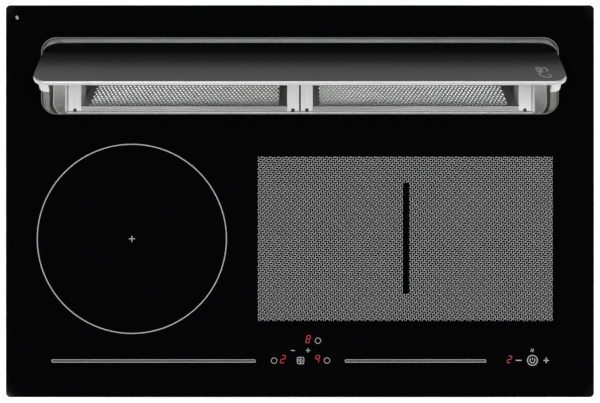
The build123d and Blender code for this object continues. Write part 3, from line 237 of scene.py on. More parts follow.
shadedThroatSteel = castMetal("throatSteelPaintedShade", "#4a4a4a", 0.4, 500.0)  # painted shade: dark grey on the rib between the cassettes and on the throat's ends beside them
# painted shade: the rivets' steel is dark grey for the shade in and round their heads
shadedRivetSteel = castMetal("rivetSteelPaintedShade", "#4c4c4c", 0.32, 900.0)
zincSteel = castMetal("zincPlatedSteel", "#b4b6b2", 0.34, 600.0)
castAlloy = castMetal("dieCastAluminium", "#9c9ea0", 0.5, 700.0)
rolledAlloy = castMetal("rolledAluminium", "#bfc1c3", 0.38, 500.0)
ferriteBlock = castMetal("sinteredFerrite", "#3a3b3e", 0.62, 900.0)
zincSheet = galvanisedSheet("galvanisedSteelSheet")
blackMoulding = mouldedPlastic("blackPolypropylene", "#1c1d1f", 0.5, 1100.0)
greyMoulding = mouldedPlastic("greyPolypropylene", "#8d9194", 0.48, 1100.0)
whiteMoulding = mouldedPlastic("whitePolyamide", "#d9d8d2", 0.45, 1100.0)
bushMoulding = mouldedPlastic("naturalAcetal", "#cfcabb", 0.35, 1300.0)
displayDark = mouldedPlastic("smokedDisplayCover", "#0c0c0e", 0.2, 900.0)
sealFoam = softRubber("siliconeFoamSeal", "#17181a")
# painted shade: black strips for the gaps beside and between the cassettes
gapShadeBlack = softRubber("blackStripPaintedShade", "#050506")
copperCoil = woundCopper("enamelledCopperStrand")
micaSheet = printedEnamel("micaSheet", "#c9bfa6", "#b8ac90")
boardGreen = printedEnamel("glassEpoxyBoard", "#1f5a34", "#8fae98")
greyInk = printedEnamel("greyEnamelPrint", "#a4a4a4", "#e6e6e6")
fieldInk = printedEnamel("greyFieldPrint", "#868686", "#ececec")
redLight = glowingSegment("redSegmentLight", "#e83442", 0.75)
print("materials: done")


def placed(name, data):
    # an object in the scene that shows the given data
    thing = bpy.data.objects.new(name, data)
    bpy.context.scene.collection.objects.link(thing)
    return thing


def dressed(name, mesh, material, body, sharp):
    # a mesh, smooth but for its edges above the sharp angle, riding on a body
    mesh.shade_smooth()
    mesh.set_sharp_from_angle(angle=math.radians(sharp))
    mesh.materials.append(material)
    piece = placed(name, mesh)
    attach(piece, body)
    return piece


def newPiece(name, parts, material, body, sharp=35.0):
    # a piece from its parts, each with its points in metres and its faces
    points, faces = [], []
    for partPoints, partFaces in parts:
        faces += [[i + len(points) for i in face] for face in partFaces]
        points += partPoints.tolist()
    mesh = bpy.data.meshes.new(name)
    mesh.from_pydata(points, [], faces)
    mesh.validate()
    return dressed(name, mesh, material, body, sharp)


def addBevel(piece, width):
    # rounds the edges sharper than 40 degrees
    bevel = piece.modifiers.new("edge", "BEVEL")
    bevel.width = width * mm
    bevel.segments = 2
    bevel.limit_method = "ANGLE"
    bevel.angle_limit = math.radians(40)
    bevel.harden_normals = True


def softenedCopy(node, width, body):
    # a merged copy of a solid with its true edges rounded, in place of the plain one
    name = node + "_edged"
    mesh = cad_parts[node].data.copy()
    mesh.name = name
    mesh.materials.clear()
    work = bmesh.new()
    work.from_mesh(mesh)
    bmesh.ops.remove_doubles(work, verts=work.verts, dist=1e-6)
    bmesh.ops.dissolve_limit(work, angle_limit=math.radians(0.5), verts=work.verts, edges=work.edges)
    bmesh.ops.recalc_face_normals(work, faces=work.faces)
    work.to_mesh(mesh)
    work.free()
    piece = dressed(name, mesh, nodeFinish.get(node, zincSteel), body, 40)
    addBevel(piece, width)
    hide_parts(node)


def gridFaces(rows, columns, wrapRows, wrapColumns):
    # quads between neighbours of a rows x columns grid of points
    r = np.arange(rows if wrapRows else rows - 1)
    c = np.arange(columns if wrapColumns else columns - 1)
    r, c = np.meshgrid(r, c, indexing="ij")
    rNext, cNext = (r + 1) % rows, (c + 1) % columns
    quads = [r * columns + c, rNext * columns + c, rNext * columns + cNext, r * columns + cNext]
    return np.stack(quads, -1).reshape(-1, 4).tolist()


def tubeFaces(rows, count, flipped=False):
    # quads round a row of closed rings and a face over each end; flipped where the rings run
    # counter-clockwise about the row's direction
    last = count * (rows - 1)
    faces = gridFaces(rows, count, False, True)
    faces += [list(range(count)), [last + i for i in reversed(range(count))]]
    return [face[::-1] for face in faces] if flipped else faces


def boxFaces(count):
    # the six faces of each of many boxes, whose corners run round the bottom and then the top
    unit = np.array([(0, 3, 2, 1), (4, 5, 6, 7), (0, 1, 5, 4), (1, 2, 6, 5), (2, 3, 7, 6), (3, 0, 4, 7)])
    return (unit[None] + 8 * np.arange(count)[:, None, None]).reshape(-1, 4).tolist()


def flatBoxes(centres, sizes, low, high):
    # many flat boxes at once: 8 corners each from centre +- half size, between two heights
    half = np.asarray(sizes, float) / 2
    centres = np.asarray(centres, float)
    sign = np.array([(-1, -1), (1, -1), (1, 1), (-1, 1)])
    flat = centres[:, None, :] + sign[None] * np.broadcast_to(half, centres.shape)[:, None, :]
    bottom = np.concatenate([flat, np.full(flat.shape[:2] + (1,), low)], -1)
    top = np.concatenate([flat, np.full(flat.shape[:2] + (1,), high)], -1)
    return np.concatenate([bottom, top], 1).reshape(-1, 3) * mm, boxFaces(len(centres))


def bars(starts, ends, facing, width, thick):
    # many small bars: a rectangle width x thick carried from start to end, its broad face
    # turned to the given direction as far as the bar's own direction lets it
    run = ends - starts
    run /= np.linalg.norm(run, axis=1, keepdims=True)
    face = facing - np.sum(facing * run, 1)[:, None] * run
    face /= np.linalg.norm(face, axis=1, keepdims=True)
    side = np.cross(face, run)
    corners = []
    for end in (starts, ends):
        for s, f in ((-1, -1), (1, -1), (1, 1), (-1, 1)):
            corners.append(end + side * (s * width / 2) + face * (f * thick / 2))
    return np.stack(corners, 1).reshape(-1, 3) * mm, boxFaces(len(starts))


def stroke(path, width, low, high, closed=False):
    # a flat line of a given width along a path in plan: a rectangle carried along it
    path = np.asarray(path, float)
    if closed:
        ahead, behind = np.roll(path, -1, 0), np.roll(path, 1, 0)
    else:
        ahead, behind = np.vstack([path[1:], path[-1:]]), np.vstack([path[:1], path[:-1]])
    along = ahead - behind
    along /= np.linalg.norm(along, axis=1, keepdims=True)
    side = np.stack([along[:, 1], -along[:, 0]], -1)
    into = path - behind
    into[0] = into[0] if closed else (ahead - path)[0]
    into /= np.linalg.norm(into, axis=1, keepdims=True)
    # a mitre keeps the width at the bends: half width / cos(half the bend)
    stretch = 1.0 / np.clip(np.abs(np.sum(into * along, 1)), 0.5, 1.0)
    reach = side * (width / 2 * stretch)[:, None]
    corners = []
    for edge, z in ((reach, low), (reach, high), (-reach, high), (-reach, low)):
        corners.append(np.concatenate([path + edge, np.full((len(path), 1), z)], 1))
    points = np.stack(corners, 1).reshape(-1, 3) * mm
    return points, gridFaces(len(path), 4, True, True) if closed else tubeFaces(len(path), 4)


def arc(centre, radius, startDegree, endDegree, steps):
    # centre + radius * (cos t, sin t)
    t = np.radians(np.linspace(startDegree, endDegree, steps))
    return np.stack([centre[0] + radius * np.cos(t), centre[1] + radius * np.sin(t)], -1)


def bentPath(corners, radius, steps=6):
    # an open path in plan through right-angled corners, rounded by arcs, with its outward normals
    corners = [np.asarray(c, float) for c in corners]
    points, normals = [], []
    for k, corner in enumerate(corners):
        before = corner - corners[k - 1] if k else corners[1] - corner
        after = corners[k + 1] - corner if k < len(corners) - 1 else before
        before, after = before / np.linalg.norm(before), after / np.linalg.norm(after)
        outBefore, outAfter = np.array([before[1], -before[0]]), np.array([after[1], -after[0]])
        if k in (0, len(corners) - 1):
            points.append(corner[None])
            normals.append(outAfter[None])
            continue
        centre = corner - radius * (outBefore + outAfter)
        t = np.linspace(0.0, math.pi / 2, steps)[:, None]
        out = outBefore * np.cos(t) + outAfter * np.sin(t)
        points.append(centre + radius * out)
        normals.append(out)
    return np.concatenate(points), np.concatenate(normals)


def mirrored(path):
    # the same path on the other side of the hob, turned so that its normals still point outwards
    return [(-x, y) for x, y in path[::-1]]


def sweptPath(path, outward, profile):
    # carries a closed profile (offset outwards, height) along an open path in plan
    flat = path[:, None, :] + outward[:, None, :] * profile[None, :, :1]
    tall = np.broadcast_to(profile[None, :, 1:], flat.shape[:2] + (1,))
    return np.concatenate([flat, tall], -1).reshape(-1, 3) * mm, tubeFaces(len(path), len(profile))


def alongX(profile, lowX, highX, sign):
    # a closed profile (y, z) carried along X on one side of the hob
    ends = [np.concatenate([np.full((len(profile), 1), sign * x), profile], 1) for x in (lowX, highX)]
    return np.concatenate(ends) * mm, tubeFaces(2, len(profile), sign < 0)


print("helpers: done")

# finish of each solid; those not named here are zinc-plated steel
finishes = (
    (blackGlass, ("glass_plate",)),
    (flapGlass, ("flap_glass",)),
    (sealFoam, ("worktop_seal", "blower_gasket")),
    (shadedTrimSteel, ("opening_trim",)),
    (steelAlongX, ("intake_liner", "throat_frame", "flap_end_skirts", "flap_pan")),
    (shadedThroatSteel, ("filter_support_rib",)),
    (shadedRailSteel, ("left_filter_frame", "right_filter_frame")),
    (meshSteel, ("left_filter_mesh", "right_filter_mesh")),
    (shadedRivetSteel, ("left_filter_rivets", "right_filter_rivets")),
    (zincSheet, ("support_frame", "upper_casing", "chamber_lid", "chamber_walls", "chamber_front",
                 "chamber_floor", "chamber_nose", "flap_motor_bracket", "overflow_rails", "induction_tray")),
    (blackMoulding, ("scroll_cover", "scroll_housing", "inlet_ring", "exhaust_collar", "fan_housings",
                     "fan_guards", "left_fan_rotor", "right_fan_rotor", "mains_gland", "flap_touch_sensor")),
    (greyMoulding, ("overflow_container", "impeller", "blower_control_box")),
    (whiteMoulding, ("coil_carriers", "control_carrier", "tray_posts", "sector_gear", "drive_pinion")),
    (bushMoulding, ("hinge_bushes",)),
    (castAlloy, ("blower_motor", "flap_motor")),
    (rolledAlloy, ("coil_plate", "heat_sinks")),
    (copperCoil, ("induction_coils",)),
    (ferriteBlock, ("ferrite_bars",)),
    (micaSheet, ("mica_sheets",)),
    (boardGreen, ("power_boards", "touch_board")),
    (displayDark, ("display_modules",)),
)
nodeFinish = {nodeName: finish for finish, nodeNames in finishes for nodeName in nodeNames}
for nodeName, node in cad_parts.items():
    node.data.materials.clear()
    node.data.materials.append(nodeFinish.get(nodeName, zincSteel))

# solids with rounded edges: body, slot, and each node's edge radius in mm
softened = (
    ("hob", "brushed_stainless", {"intake_liner": 1.2, "throat_frame": 0.4, "opening_trim": 0.3}),
    ("flap", "brushed_stainless", {"flap_pan": 0.4}),
    ("left_filter", "brushed_stainless", {"left_filter_frame": 0.35}),
    ("right_filter", "brushed_stainless", {"right_filter_frame": 0.35}),
    ("hob", "galvanised_sheet", {"support_frame": 0.4, "upper_casing": 0.4, "chamber_walls": 0.3,
                                 "chamber_floor": 0.3, "chamber_nose": 0.3, "induction_tray": 0.4,
                                 "overflow_rails": 0.3}),
    ("hob", "black_plastic", {"scroll_cover": 0.7, "scroll_housing": 0.7, "exhaust_collar": 0.6,
                              "mains_gland": 0.6}),
    ("overflow_drawer", "grey_plastic", {"overflow_container": 0.6}),
    ("hob", "grey_plastic", {"blower_control_box": 1.2}),
    ("hob", "die_cast", {"blower_motor": 0.8}),
    ("hob", "zinc_steel", {"hold_down_clamps": 0.3}),
    ("hob", "white_plastic", {"terminal_block": 0.5}),
)
for bodyName, slotName, radii in softened:
    for nodeName, radius in radii.items():
        softenedCopy(nodeName, radius, bodyName)


def finishWhere(name, material, chosen):
    # gives the faces whose middle and normal pass the test a second finish
    mesh = bpy.data.objects[name].data
    mesh.materials.append(material)
    count = len(mesh.polygons)
    middles, normals, index = np.empty(3 * count), np.empty(3 * count), np.empty(count, dtype=np.int32)
    mesh.polygons.foreach_get("center", middles)
    mesh.polygons.foreach_get("normal", normals)
    mesh.polygons.foreach_get("material_index", index)
    index[chosen(middles.reshape(-1, 3) / mm, normals.reshape(-1, 3))] = len(mesh.materials) - 1
    mesh.polygons.foreach_set("material_index", index)


# the liner's rear lip is darker, painted shade; its upright walls are polished; the throat's ends are dark
# grey, painted shade
second = {"shadedLipY": 205.0, "upright": 0.3, "shadedEndX": 308.0}
finishWhere("intake_liner_edged", shadedLipSteel, lambda middle, normal: middle[:, 1] > second["shadedLipY"])
finishWhere("intake_liner_edged", wallSteel, lambda middle, normal:
            (np.abs(normal[:, 2]) < second["upright"]) & (middle[:, 1] < second["shadedLipY"]))
finishWhere("throat_frame_edged", shadedThroatSteel, lambda middle, normal:
            np.abs(middle[:, 0]) > second["shadedEndX"])
print("solids: finished")

# the slab of expanded metal falls to the rear at 57 degrees; louvred strands run zigzag across it
# in two layers, drawn coarser than they are so that they show
louvres = {"slope": math.radians(57.0), "topY": 129.0, "topZ": -10.7, "length": 60.0, "thick": 2.0,
           "innerX": 16.8, "outerX": 291.9, "border": 10.2, "pitch": 5.4, "rise": 6.1, "start": 0.8,
           "spare": 1.5, "strand": 0.9, "strandThick": 0.35, "layers": (0.6, 1.4), "louvre": 0.3,
           "bondWide": 5.2, "bondLong": 5.1, "railSpare": 0.4}
downSlope = np.array([0.0, math.cos(louvres["slope"]), -math.sin(louvres["slope"])])
offFace = np.array([0.0, math.sin(louvres["slope"]), math.cos(louvres["slope"])])
meshStart = np.array([0.0, louvres["topY"], louvres["topZ"]])
sideways = np.array([1.0, 0.0, 0.0])
facing = np.array([0.0, -math.sin(louvres["louvre"]), math.cos(louvres["louvre"])])


def onMesh(lowX, depth, column, row):
    # points at a depth under the slab's face: start + column * pitch / 2 along X, row * rise down
    x = lowX + column * (louvres["pitch"] / 2)
    down = louvres["start"] + row * louvres["rise"]
    return meshStart - offFace * depth + x[:, None] * sideways + down[:, None] * downSlope


def expandedMetal(side):
    # strands between the bonds, which lie at every second crossing: column + row even
    innerX = louvres["innerX"] + louvres["border"]
    outerX = louvres["outerX"] - louvres["border"]
    lowX, highX = sorted((side * innerX, side * outerX))
    columns = np.arange(0, int((highX - lowX) / (louvres["pitch"] / 2)))
    rows = np.arange(0, int((louvres["length"] - louvres["spare"]) / louvres["rise"]) + 1)
    i, j = (g.ravel() for g in np.meshgrid(columns, rows, indexing="ij"))
    parts = []
    for number, depth in enumerate(louvres["layers"]):
        for turn in (1, -1):
            keep = ((i + j + number) % 2 == 0) & (j + turn >= 0) & (j + turn <= rows[-1])
            starts = onMesh(lowX, depth, i[keep], j[keep])
            ends = onMesh(lowX, depth, i[keep] + 1, j[keep] + turn)
            parts.append(bars(starts, ends, facing, louvres["strand"], louvres["strandThick"]))
    # rhombic bonds where strands meet, turned up like small louvres
    keep = (i + j) % 2 == 0
    middle = onMesh(lowX, louvres["thick"] / 2, i[keep], j[keep])
    wide = sideways * louvres["bondWide"] / 2
    long = np.cross(facing, sideways) * louvres["bondLong"] / 2
    tall = facing * louvres["strandThick"] / 2
    corners = [middle + wide * a + long * b + tall * lift
               for lift in (-1, 1) for a, b in ((1, 0), (0, 1), (-1, 0), (0, -1))]
    parts.append((np.stack(corners, 1).reshape(-1, 3) * mm, boxFaces(len(middle))))
    return parts


for side, body in cassettes:
    piece = newPiece(body + "_strands", expandedMetal(side), meshSteel, body, 20.0)
    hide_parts(body + "_mesh")
    # folded side rails that hold the ends of the sheet
    rails = []
    middle = meshStart - offFace * (louvres["thick"] / 2)
    spare = louvres["railSpare"]
    for x0 in (louvres["innerX"], louvres["outerX"] - louvres["border"]):
        centreX = np.array([side * (x0 + louvres["border"] / 2), 0.0, 0.0])
        rails.append(bars((middle + centreX + spare * downSlope)[None],
                          (middle + centreX + (louvres["length"] - spare) * downSlope)[None],
                          offFace, louvres["border"] + spare, louvres["thick"]))
    newPiece(body + "_mesh_rails", rails, steelDark, body)

# blind rivets through cheek and front rail; the same domed head serves the casing's screws
rivet = {"radius": 2.5, "height": 1.0, "y": 121.4, "topZ": -1.1, "innerX": 1.0, "outerX": 308.2,
         "inset": 8.3}
head = {"crown": 0.72, "rim": 0.98, "foot": -0.4, "hole": (0.8, 0.72), "holeTop": 0.85, "holeFloor": 0.05}


def domedHead(place, radius, height, steps, rings):
    # a low dome, radius * cos a and height * sin a, up to the rim of the hole in its crown
    a = np.linspace(0.0, math.pi / 2 * head["crown"], rings)
    hole = radius * math.cos(a[-1])
    t = np.arange(steps) * 2 * math.pi / steps
    ringR = np.concatenate([[radius * head["rim"]], radius * np.cos(a), [hole * k for k in head["hole"]]])
    top = [height * head["holeTop"], head["holeFloor"]]
    ringZ = np.concatenate([[head["foot"]], height * np.sin(a), top])
    points = np.stack([place[0] + np.outer(ringR, np.cos(t)), place[1] + np.outer(ringR, np.sin(t)),
                       place[2] + np.repeat(ringZ[:, None], steps, 1)], -1).reshape(-1, 3)
    return points * mm, tubeFaces(len(ringR), steps, True)


for side, body in cassettes:
    heads = [domedHead((side * x, rivet["y"], rivet["topZ"]), rivet["radius"], rivet["height"], 28, 6)
             for x in (rivet["innerX"] + rivet["inset"], rivet["outerX"] - rivet["inset"])]
    piece = newPiece(body + "_rivet_heads", heads, shadedRivetSteel, body)
    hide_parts(body + "_rivets")
print("cassettes: done")

# flap: bright edge strip and end skirts, laid out flat and then tilted about the hinge
hinge = np.array([0.0, hob["hingeY"], hob["hingeZ"]])
alongFlap = np.array([0.0, math.cos(hob["flapTilt"]), -math.sin(hob["flapTilt"])])
offFlap = np.array([0.0, math.sin(hob["flapTilt"]), math.cos(hob["flapTilt"])])
# the strip's section is (out from the flap's edge, height)
flap = {"half": 340.3, "front": -77.7, "corner": 17.0, "sideReach": -66.0,
        "strip": ((0.0, 2.4), (0.23, 2.4), (0.38, 2.7), (0.38, 7.0), (0.18, 7.3), (-0.35, 7.3),
                  (-0.35, 6.9)), "skirtInset": 4.4, "skirtLow": -11.3, "skirtTop": 2.4, "skirtWall": 1.2,
        "skirtInner": 320.6, "skirtRear": 12.0}


def onFlap(part):
    # a part in (across, along, off) the flap to the tilted flap, both in metres
    points, faces = part
    return hinge * mm + points @ np.array([sideways, alongFlap, offFlap]), faces


half, front = flap["half"], flap["front"]
stripCorners = [(-half, 0.0), (-half, front), (half, front), (half, 0.0)]
stripPath, stripOut = bentPath(stripCorners, flap["corner"], 25)
ahead = stripPath[:, 1] < flap["sideReach"]
strip = sweptPath(stripPath[ahead], stripOut[ahead], np.array(flap["strip"]))
newPiece("flap_edge_strip", [onFlap(strip)], edgeSteel, "flap")

# end skirts: a wall from the front round the corner and along the side, with a rolled lower edge
roll = np.radians(np.linspace(180, 360, 7))
radius = flap["skirtWall"] / 2
rolled = np.stack([radius * (np.cos(roll) - 1.0), flap["skirtLow"] + radius + radius * np.sin(roll)], -1)
skirtProfile = np.vstack([[(0.0, flap["skirtTop"]), (-flap["skirtWall"], flap["skirtTop"])], rolled])
half, front = flap["half"] - flap["skirtInset"], flap["front"] + flap["skirtInset"]
leftPath = [(-half, flap["skirtRear"]), (-half, front), (-flap["skirtInner"], front)]
skirts = [onFlap(sweptPath(*bentPath(path, flap["corner"] - flap["skirtInset"], 14), skirtProfile))
          for path in (leftPath, mirrored(leftPath))]
skirt = newPiece("flap_skirts_rolled", skirts, steelAlongY, "flap")
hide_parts("flap_end_skirts")
print("flap: done")

# painted shade: black strips on the rib and on the throat's end walls, in the gaps beside the cassettes
gapStrip = {"ribMiddle": (0.0, 143.3), "ribSize": (1.8, 46.8), "ribLow": -2.8, "ribTop": -2.1,
          "endX": 309.15, "endY": 143.5, "endSize": (1.1, 47.0), "endLow": -16.0, "endTop": -2.6}
gapStrips = [flatBoxes([gapStrip["ribMiddle"]], [gapStrip["ribSize"]], gapStrip["ribLow"], gapStrip["ribTop"])]
for sign in (-1, 1):
    gapStrips.append(flatBoxes([(sign * gapStrip["endX"], gapStrip["endY"])], [gapStrip["endSize"]],
                             gapStrip["endLow"], gapStrip["endTop"]))
newPiece("cassette_gap_shade_strips", gapStrips, gapShadeBlack, "hob")

# flange of the mesh tray folded over the front rail: it makes the step along the rail; section (y, z)
flange = {"lowX": 17.0, "highX": 291.8, "section": ((122.4, -1.5), (122.7, -1.12), (126.5, -1.12),
          (126.9, -1.52), (126.9, -4.32), (126.45, -4.32), (126.45, -1.5))}
for sign, body in cassettes:
    part = alongX(np.array(flange["section"]), flange["lowX"], flange["highX"], sign)
    newPiece(body + "_front_flange", [part], shadedRailSteel, body)

# cheeks: a plate over each end of the tray with a flange down into its pocket
cheek = {"frontY": 119.9, "rearY": 166.8, "plateTop": -1.1, "plateLow": -1.6, "wallFront": 128.2,
         "wallRear": 163.3, "wallTop": -1.3, "wallLow": -27.0, "sheet": 0.5, "bevel": 0.18,
         "inner": (1.1, 16.9, 16.9), "outer": (291.8, 308.9, 291.8)}
for sign, body in cassettes:
    parts = []
    for low, high, wallX in (cheek["inner"], cheek["outer"]):
        parts.append(flatBoxes([(sign * (low + high) / 2, (cheek["frontY"] + cheek["rearY"]) / 2)],
                               [(high - low, cheek["rearY"] - cheek["frontY"])],
                               cheek["plateLow"], cheek["plateTop"]))
        parts.append(flatBoxes([(sign * wallX, (cheek["wallFront"] + cheek["wallRear"]) / 2)],
                               [(cheek["sheet"], cheek["wallRear"] - cheek["wallFront"])],
                               cheek["wallLow"], cheek["wallTop"]))
    piece = newPiece(body + "_cheeks", parts, steelAlongY, body)
    addBevel(piece, cheek["bevel"])

# rounded hems on top of the throat's end walls: half circle over two upright legs
hem = {"innerX": 311.0, "wide": 2.3, "topZ": -0.95, "crown": 0.9, "leg": 3.0, "lowY": 118.4, "highY": 168.6}
turn = np.linspace(0.0, math.pi, 9)
hemProfile = np.vstack([np.stack([hem["innerX"] + hem["wide"] / 2 * (1 - np.cos(turn)),
                                  hem["topZ"] - hem["crown"] + hem["crown"] * np.sin(turn)], -1),
                        [(hem["innerX"] + hem["wide"], hem["topZ"] - hem["leg"]),
                         (hem["innerX"], hem["topZ"] - hem["leg"])]])
hems = []
for sign in (-1, 1):
    ends = [np.stack([sign * hemProfile[:, 0], np.full(len(hemProfile), y), hemProfile[:, 1]], 1)
            for y in (hem["lowY"], hem["highY"])]
    hems.append((np.concatenate(ends) * mm, tubeFaces(2, len(hemProfile), sign > 0)))
newPiece("throat_end_hems", hems, steelAlongY, "hob")

# coved feet of the end pockets: concave arc of the radius between wall and floor
cove = {"wallX": 341.7, "throatX": 311.2, "frontY": 116.4, "rearY": 196.0, "corner": 18.0, "floor": -41.0,
        "radius": 4.0}
t = np.linspace(0.0, math.pi / 2, 7)
coveArc = cove["radius"] * np.stack([np.cos(t) - 1.0, 1.0 - np.sin(t)], -1) + (0.0, cove["floor"])
coveProfile = np.vstack([coveArc, [(0.0, cove["floor"])]])
leftPath = [(-cove["wallX"], cove["rearY"]), (-cove["wallX"], cove["frontY"]),
            (-cove["throatX"], cove["frontY"])]
coves = [sweptPath(*bentPath(path, cove["corner"], 9), coveProfile)
         for path in (leftPath, mirrored(leftPath))]
newPiece("pocket_coves", coves, steelBright, "hob")
print("seats: done")

# casing: folded seams, pressed beads, screws, a bare type plate and the blower's ribs
casing = {"halfX": 372.0, "frontY": 105.0, "rearY": 242.0, "trayFrontY": -242.0, "trayGap": 1.0,
          "seams": ((-55.0, -42.8), (-117.6, -109.0)), "traySeam": (-9.0, -1.0), "sheet": 0.8, "bend": 3.0,
          "edgeOut": 0.25, "edgeUp": 0.3}
bead = {"half": 5.0, "height": 1.6, "crown": 0.97, "foot": -0.3, "rearX": (-255.0, 0.0, 255.0),
        "rearLong": 190.0, "rows": (-72.0, -96.0),
        "side": ((174.0, -72.0, 96.0), (174.0, -96.0, 96.0), (-15.0, -34.0, 170.0))}
screw = {"radius": 3.4, "height": 1.6, "rearReach": 330.0, "rearPitch": 110.0, "rows": (-49.0, -113.3),
         "side": ((122.0, -49.0), (225.0, -49.0), (122.0, -113.3), (225.0, -113.3), (-225.0, -5.0),
                  (-60.0, -5.0), (85.0, -5.0)),
         "frontRadius": 3.0, "frontHeight": 1.4, "frontPitch": 165.0, "frontZ": -5.0}
plate = {"place": (-127.0, casing["rearY"], -84.0), "size": (44.0, 26.0), "low": -0.2, "top": 0.5}
# across, up and out of each wall
walls = {"rear": ((-1, 0, 0), (0, 0, 1), (0, 1, 0)), "right": ((0, 1, 0), (0, 0, 1), (1, 0, 0)),
         "left": ((0, -1, 0), (0, 0, 1), (-1, 0, 0)), "front": ((1, 0, 0), (0, 0, 1), (0, -1, 0))}
wallSigns = (("left", -1), ("right", 1))


def sheetProfile(low, high):
    # an upright strip of sheet with softened edges: (offset outwards, height)
    thick, out, up = casing["sheet"], casing["edgeOut"], casing["edgeUp"]
    return np.array([(0.0, low), (thick - out, low), (thick, low + up), (thick, high - up),
                     (thick - out, high), (0.0, high)])


def onWall(part, origin, wall):
    # a part in its own (across, up, out) to a wall of the casing, about an origin in mm
    points, faces = part
    return np.asarray(origin, float) * mm + points @ np.array(walls[wall], float), faces


def stadiumBead(length):
    # a pressed bead: rings round a segment at distance half * cos a, at height * sin a
    half, height, steps = bead["half"], bead["height"], 8
    a = np.linspace(0.0, math.pi / 2 * bead["crown"], 5)
    t = np.linspace(-math.pi / 2, math.pi / 2, steps)
    straight = length / 2 - half
    ends = np.concatenate([np.stack([np.cos(t), np.sin(t)], -1), -np.stack([np.cos(t), np.sin(t)], -1)])
    shift = np.concatenate([np.full(steps, straight), np.full(steps, -straight)])
    rows = []
    for r, z in [(half, bead["foot"])] + [(half * math.cos(k), height * math.sin(k)) for k in a]:
        rows.append(np.stack([shift + r * ends[:, 0], r * ends[:, 1], np.full(2 * steps, z)], -1))
    return np.concatenate(rows) * mm, tubeFaces(len(rows), 2 * steps, True)


def screwHead(radius, height):
    return domedHead((0.0, 0.0, 0.0), radius, height, 20, 5)


halfX, rearY, trayRearY = casing["halfX"], casing["rearY"], casing["frontY"] - casing["trayGap"]
rearPath = bentPath([(halfX, casing["frontY"]), (halfX, rearY), (-halfX, rearY), (-halfX, casing["frontY"])],
                    casing["bend"])
trayPath = bentPath([(-halfX, trayRearY), (-halfX, casing["trayFrontY"]), (halfX, casing["trayFrontY"]),
                     (halfX, trayRearY)], casing["bend"])
folds = [sweptPath(*rearPath, sheetProfile(*seam)) for seam in casing["seams"]]
folds.append(sweptPath(*trayPath, sheetProfile(*casing["traySeam"])))
newPiece("casing_folds", folds, zincSheet, "hob")

beads = [onWall(stadiumBead(bead["rearLong"]), (x, rearY, z), "rear")
         for x in bead["rearX"] for z in bead["rows"]]
beads += [onWall(stadiumBead(length), (sign * halfX, y, z), wall)
          for wall, sign in wallSigns for y, z, length in bead["side"]]
newPiece("casing_beads", beads, zincSheet, "hob")

skin = casing["sheet"]
largeHead = screwHead(screw["radius"], screw["height"])
smallHead = screwHead(screw["frontRadius"], screw["frontHeight"])
lastX = screw["rearReach"] + 1.0
screws = [onWall(largeHead, (x, rearY + skin, z), "rear")
          for x in np.arange(-screw["rearReach"], lastX, screw["rearPitch"]) for z in screw["rows"]]
screws += [onWall(largeHead, (sign * (halfX + skin), y, z), wall)
           for wall, sign in wallSigns for y, z in screw["side"]]
screws += [onWall(smallHead, (x, casing["trayFrontY"] - skin, screw["frontZ"]), "front")
           for x in np.arange(-screw["rearReach"], lastX, screw["frontPitch"])]
newPiece("casing_screws", screws, zincSteel, "hob")

plateBox = flatBoxes([(0.0, 0.0)], [plate["size"]], plate["low"], plate["top"])
newPiece("type_plate", [onWall(plateBox, plate["place"], "rear")], rolledAlloy, "hob")

# spiral of the blower: radius grows from 96 to 136 over 310 degrees about (0, 110)
scroll = {"y": 110.0, "startRadius": 96.0, "growth": 40.0 / 310.0, "startAngle": 50.0, "low": -202.5,
          "top": -121.6, "ribs": range(70, 351, 14), "ribOut": 0.7, "ribWide": 2.0, "ribDeep": 3.6,
          "bossOut": 3.2, "bossRadius": 4.2, "bossLow": -136.0, "bossTop": -120.6, "bossBevel": 0.6,
          "bossCrown": 0.86}


def roundBoss(centre):
    # a ring in plan carried up, with a small chamfer at the top
    ring = arc(centre, scroll["bossRadius"], 0, 360, 21)[:-1]
    centre = ring.mean(0)
    levels = ((1.0, scroll["bossLow"]), (1.0, scroll["bossTop"] - scroll["bossBevel"]),
              (scroll["bossCrown"], scroll["bossTop"]))
    rings = [np.concatenate([centre + (ring - centre) * k, np.full((len(ring), 1), z)], 1)
             for k, z in levels]
    return np.concatenate(rings) * mm, tubeFaces(len(levels), len(ring), True)


ribs, bosses = [], []
for degree in scroll["ribs"]:
    radius = scroll["startRadius"] + scroll["growth"] * (degree - scroll["startAngle"])
    out = np.array([math.cos(math.radians(degree)), math.sin(math.radians(degree)), 0.0])
    foot = np.array([0.0, scroll["y"], 0.0]) + out * (radius + scroll["ribOut"])
    ribs.append(bars((foot + (0, 0, scroll["low"]))[None], (foot + (0, 0, scroll["top"]))[None], out,
                     scroll["ribWide"], scroll["ribDeep"]))
    if degree % 3 == 1:  # a boss on every third rib
        bosses.append(roundBoss(np.array([0.0, scroll["y"]]) + out[:2] * (radius + scroll["bossOut"])))
newPiece("scroll_ribs", ribs + bosses, blackMoulding, "hob")
print("casing: done")

# prints on the glass run from just inside it to just above it
printLow = hob["glassTop"] - 0.02
printTop = hob["glassTop"] + 0.03
ink = {"zone": np.array([-222.8, -49.9]), "zoneRadius": 125.35, "zoneLine": 1.2, "crossArm": 4.0,
       "crossGap": 0.56, "crossLine": 1.1}


def mark(path, width=0.85, closed=False):
    return stroke(path, width, printLow, printTop, closed)


def circleMark(centre, radius, width=0.65):
    return mark(arc(centre, radius, 0, 360, 37)[:-1], width, True)


arm, gap = ink["crossArm"], ink["crossGap"]
zoneMarks = [mark(arc(ink["zone"], ink["zoneRadius"], 0, 360, 241)[:-1], ink["zoneLine"], True)]
for start, end in (((-arm, 0), (arm, 0)), ((0, gap), (0, arm)), ((0, -gap), (0, -arm))):
    zoneMarks.append(mark([ink["zone"] + start, ink["zone"] + end], ink["crossLine"]))
newPiece("round_zone_print", zoneMarks, greyInk, "hob")

